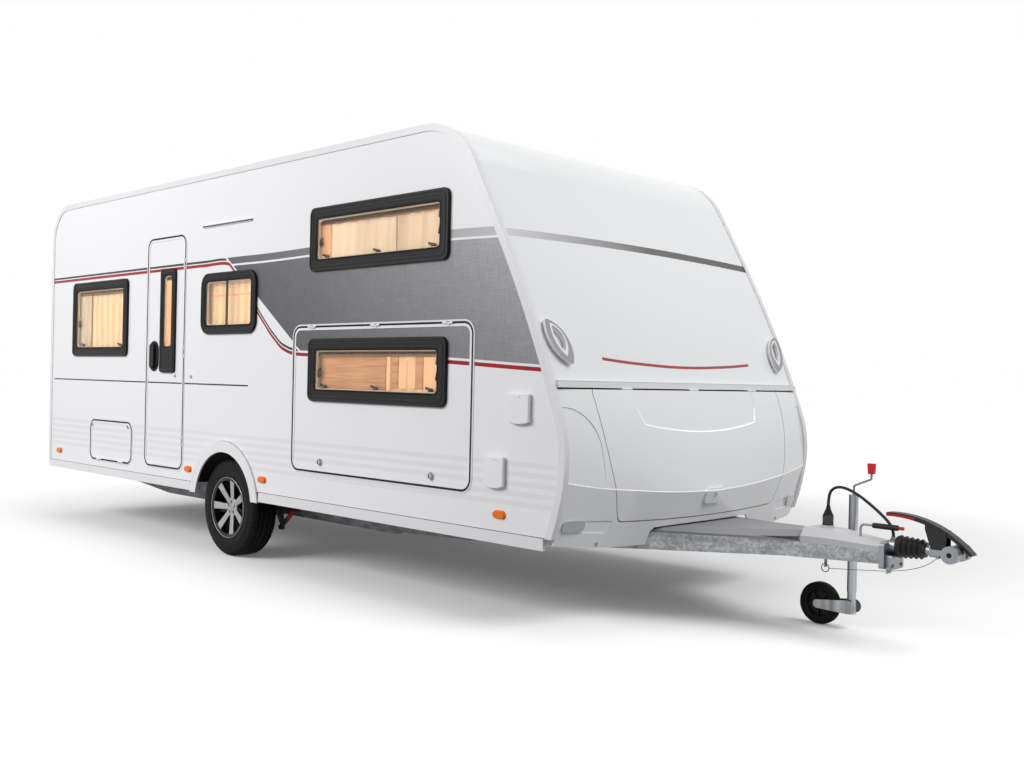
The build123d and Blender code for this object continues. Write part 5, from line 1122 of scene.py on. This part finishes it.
for name, size, places in LOCKS:
    barrels, slots = bmesh.new(), bmesh.new()
    foot, face, length = (measure * size for measure in BARREL)
    for u, w in places:
        rod(barrels, (u, w, 0.0035), (u, w, 0.0035 + length), foot, face, 32)
        # The key slot: a thin black block, painted shade for its hollow
        block(slots, (u - SLOT[0] * size, w - SLOT[1] * size, 0.0030 + length),
              (u + SLOT[0] * size, w + SLOT[1] * size, 0.0041 + length))
    lock_pieces(("lock_barrels_" + name, "lock_slots_" + name), barrels, slots, name, wall_matrix(-1))
barrel, slot_mesh = bmesh.new(), bmesh.new()
rod(barrel, (AXLE + 3.2170, 0, 0.650), (AXLE + 3.2192, 0, 0.650), 0.011, 0.010, 28)
# Its key slot: a black block, painted shade for the hollow
block(slot_mesh, (AXLE + 3.2185, -0.0016, 0.6435), (AXLE + 3.2197, 0.0016, 0.6565))
lock_pieces(("lid_lock_barrel", "lid_lock_slot"), barrel, slot_mesh, "lid")
print(len(LOCKS) * 2 + 1, "locks")

# %% Ribs, plug cap and pad bolts
RIBS, RIB_PITCH = 9, 0.013
PAD_BOLT = (AXLE + 4.540, 0.0875, 0.490)    # where the right-hand bolt meets its disc, mirrored for the left
PLUG = Vector((AXLE + 3.886, 0, 0.579))     # the plug's middle
CAP_WAY = Vector((0.5, -0.866, 0))          # the way that its cap faces

ribs, cap, bolts = bmesh.new(), bmesh.new(), bmesh.new()
for step in range(RIBS):
    ring(ribs, profile((-3, 12.5), (-2, 14.3), (2, 14.3), (3, 12.5)),
         (AXLE + 4.152 + RIB_PITCH * step, -0.025, 0.580), (1, 0, 0), 24)
finish_piece("grip_ribs", ribs, black_plastic)
plug_grey = Finish("plug_grey", grey(0.22), 0.4, 0.3).grain(0.0001, 0.4, 700)
rod(cap, PLUG + CAP_WAY * 0.016, PLUG + CAP_WAY * 0.034, 0.0255, 0.0240, 32)
finish_piece("plug_cap", cap, plug_grey, soften=0.0008)
x, out, z = PAD_BOLT
for side in (-1, 1):
    rod(bolts, (x, side * out, z), (x, side * (out + 0.003), z), 0.0135, 0.0125, 6)
finish_piece("pad_bolts", bolts, black_plastic, soften=0.0008)
print("ribs, plug cap and bolts in place")

# %% [markdown]
# ## Studio
# A large floor and a white surround hold the caravan. The floor keeps its shadow but shows nearly
# white to the camera, and so does the world, which lights the rest softly. Three wide soft lamps
# stand above, at the side and ahead, at a level where a colour renders about as it is written.

# %% Floor
FAR_GLOW = (3.2, 8.5, 0.10, 0.62)           # distances between which the floor's own light grows, and its strengths
mesh = bmesh.new()
bmesh.ops.create_grid(mesh, x_segments=1, y_segments=1, size=60)
data = bpy.data.meshes.new("studio_floor")
mesh.to_mesh(data)
mesh.free()
floor = put("studio_floor", data)
floor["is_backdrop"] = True
paper = Finish("studio_paper", colour(0.95, 0.95, 0.95), 0.9).grain(0.0005, 0.1, 40)
wear(floor, paper)
path = paper.node("LightPath").outputs
seen = paper.most(path["Is Camera Ray"], paper.most(path["Is Glossy Ray"], path["Is Transmission Ray"]))
paper.paint(paper.mix(seen, grey(0.40), grey(0.97, 0)))
distance = paper.node("VectorMath", paper.coordinates(), operation="LENGTH").outputs["Value"]
far = paper.node("MapRange", distance, *FAR_GLOW, interpolation_type="SMOOTHSTEP").outputs[0]
glow = paper.node("Emission", (1, 1, 1, 1), paper.times(far, seen))
adder = paper.node("AddShader", paper.shader.outputs[0], glow.outputs[0])
paper.tree.links.new(adder.outputs[0], paper.tree.nodes["Material Output"].inputs["Surface"])
print("floor of", len(data.polygons), "face")

# %% World and lamps
AROUND, BEHIND = 0.38, 1.0                  # the world's strength for light and as a background
world = bpy.data.worlds.new("studio")
bpy.context.scene.world = world
world.use_nodes = True
pen = Pen(world.node_tree)
path = pen.node("LightPath").outputs
direct = pen.plus(path["Is Camera Ray"], path["Is Transmission Ray"])
shows = pen.node("Math", direct, path["Is Glossy Ray"], operation="ADD", use_clamp=True).outputs[0]
background = pen.tree.nodes["Background"].inputs
background["Color"].default_value = (1, 1, 1, 1)
pen.feed(background["Strength"], pen.spread(shows, 0.0, 1.0, AROUND, BEHIND))


def soft_lamp(name, place, target, width, height, power):
    """A wide lamp of so many watts that faces target."""
    lamp = bpy.data.lights.new(name, "AREA")
    lamp.shape, lamp.size, lamp.size_y, lamp.energy = "RECTANGLE", width, height, power
    piece = put(name, lamp)
    piece.location = place
    piece.rotation_euler = (Vector(target) - Vector(place)).to_track_quat("-Z", "Y").to_euler()


soft_lamp("over", (-0.5, 0.5, 7.5), (-0.3, 0, 0), 9, 5, 60)
soft_lamp("side", (-3.0, -9.0, 5.5), (-1.4, 0, 1.2), 7.6, 4, 720)
soft_lamp("nose", (8.0, 1.0, 7.0), (2.2, 0, 1.2), 5, 4, 400)
bpy.context.scene.view_settings.view_transform = "Standard"
print(len(bpy.data.lights), "lamps")

# %% Finish
low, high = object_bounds()
print("visual box", [round(c, 3) for c in low], [round(c, 3) for c in high])
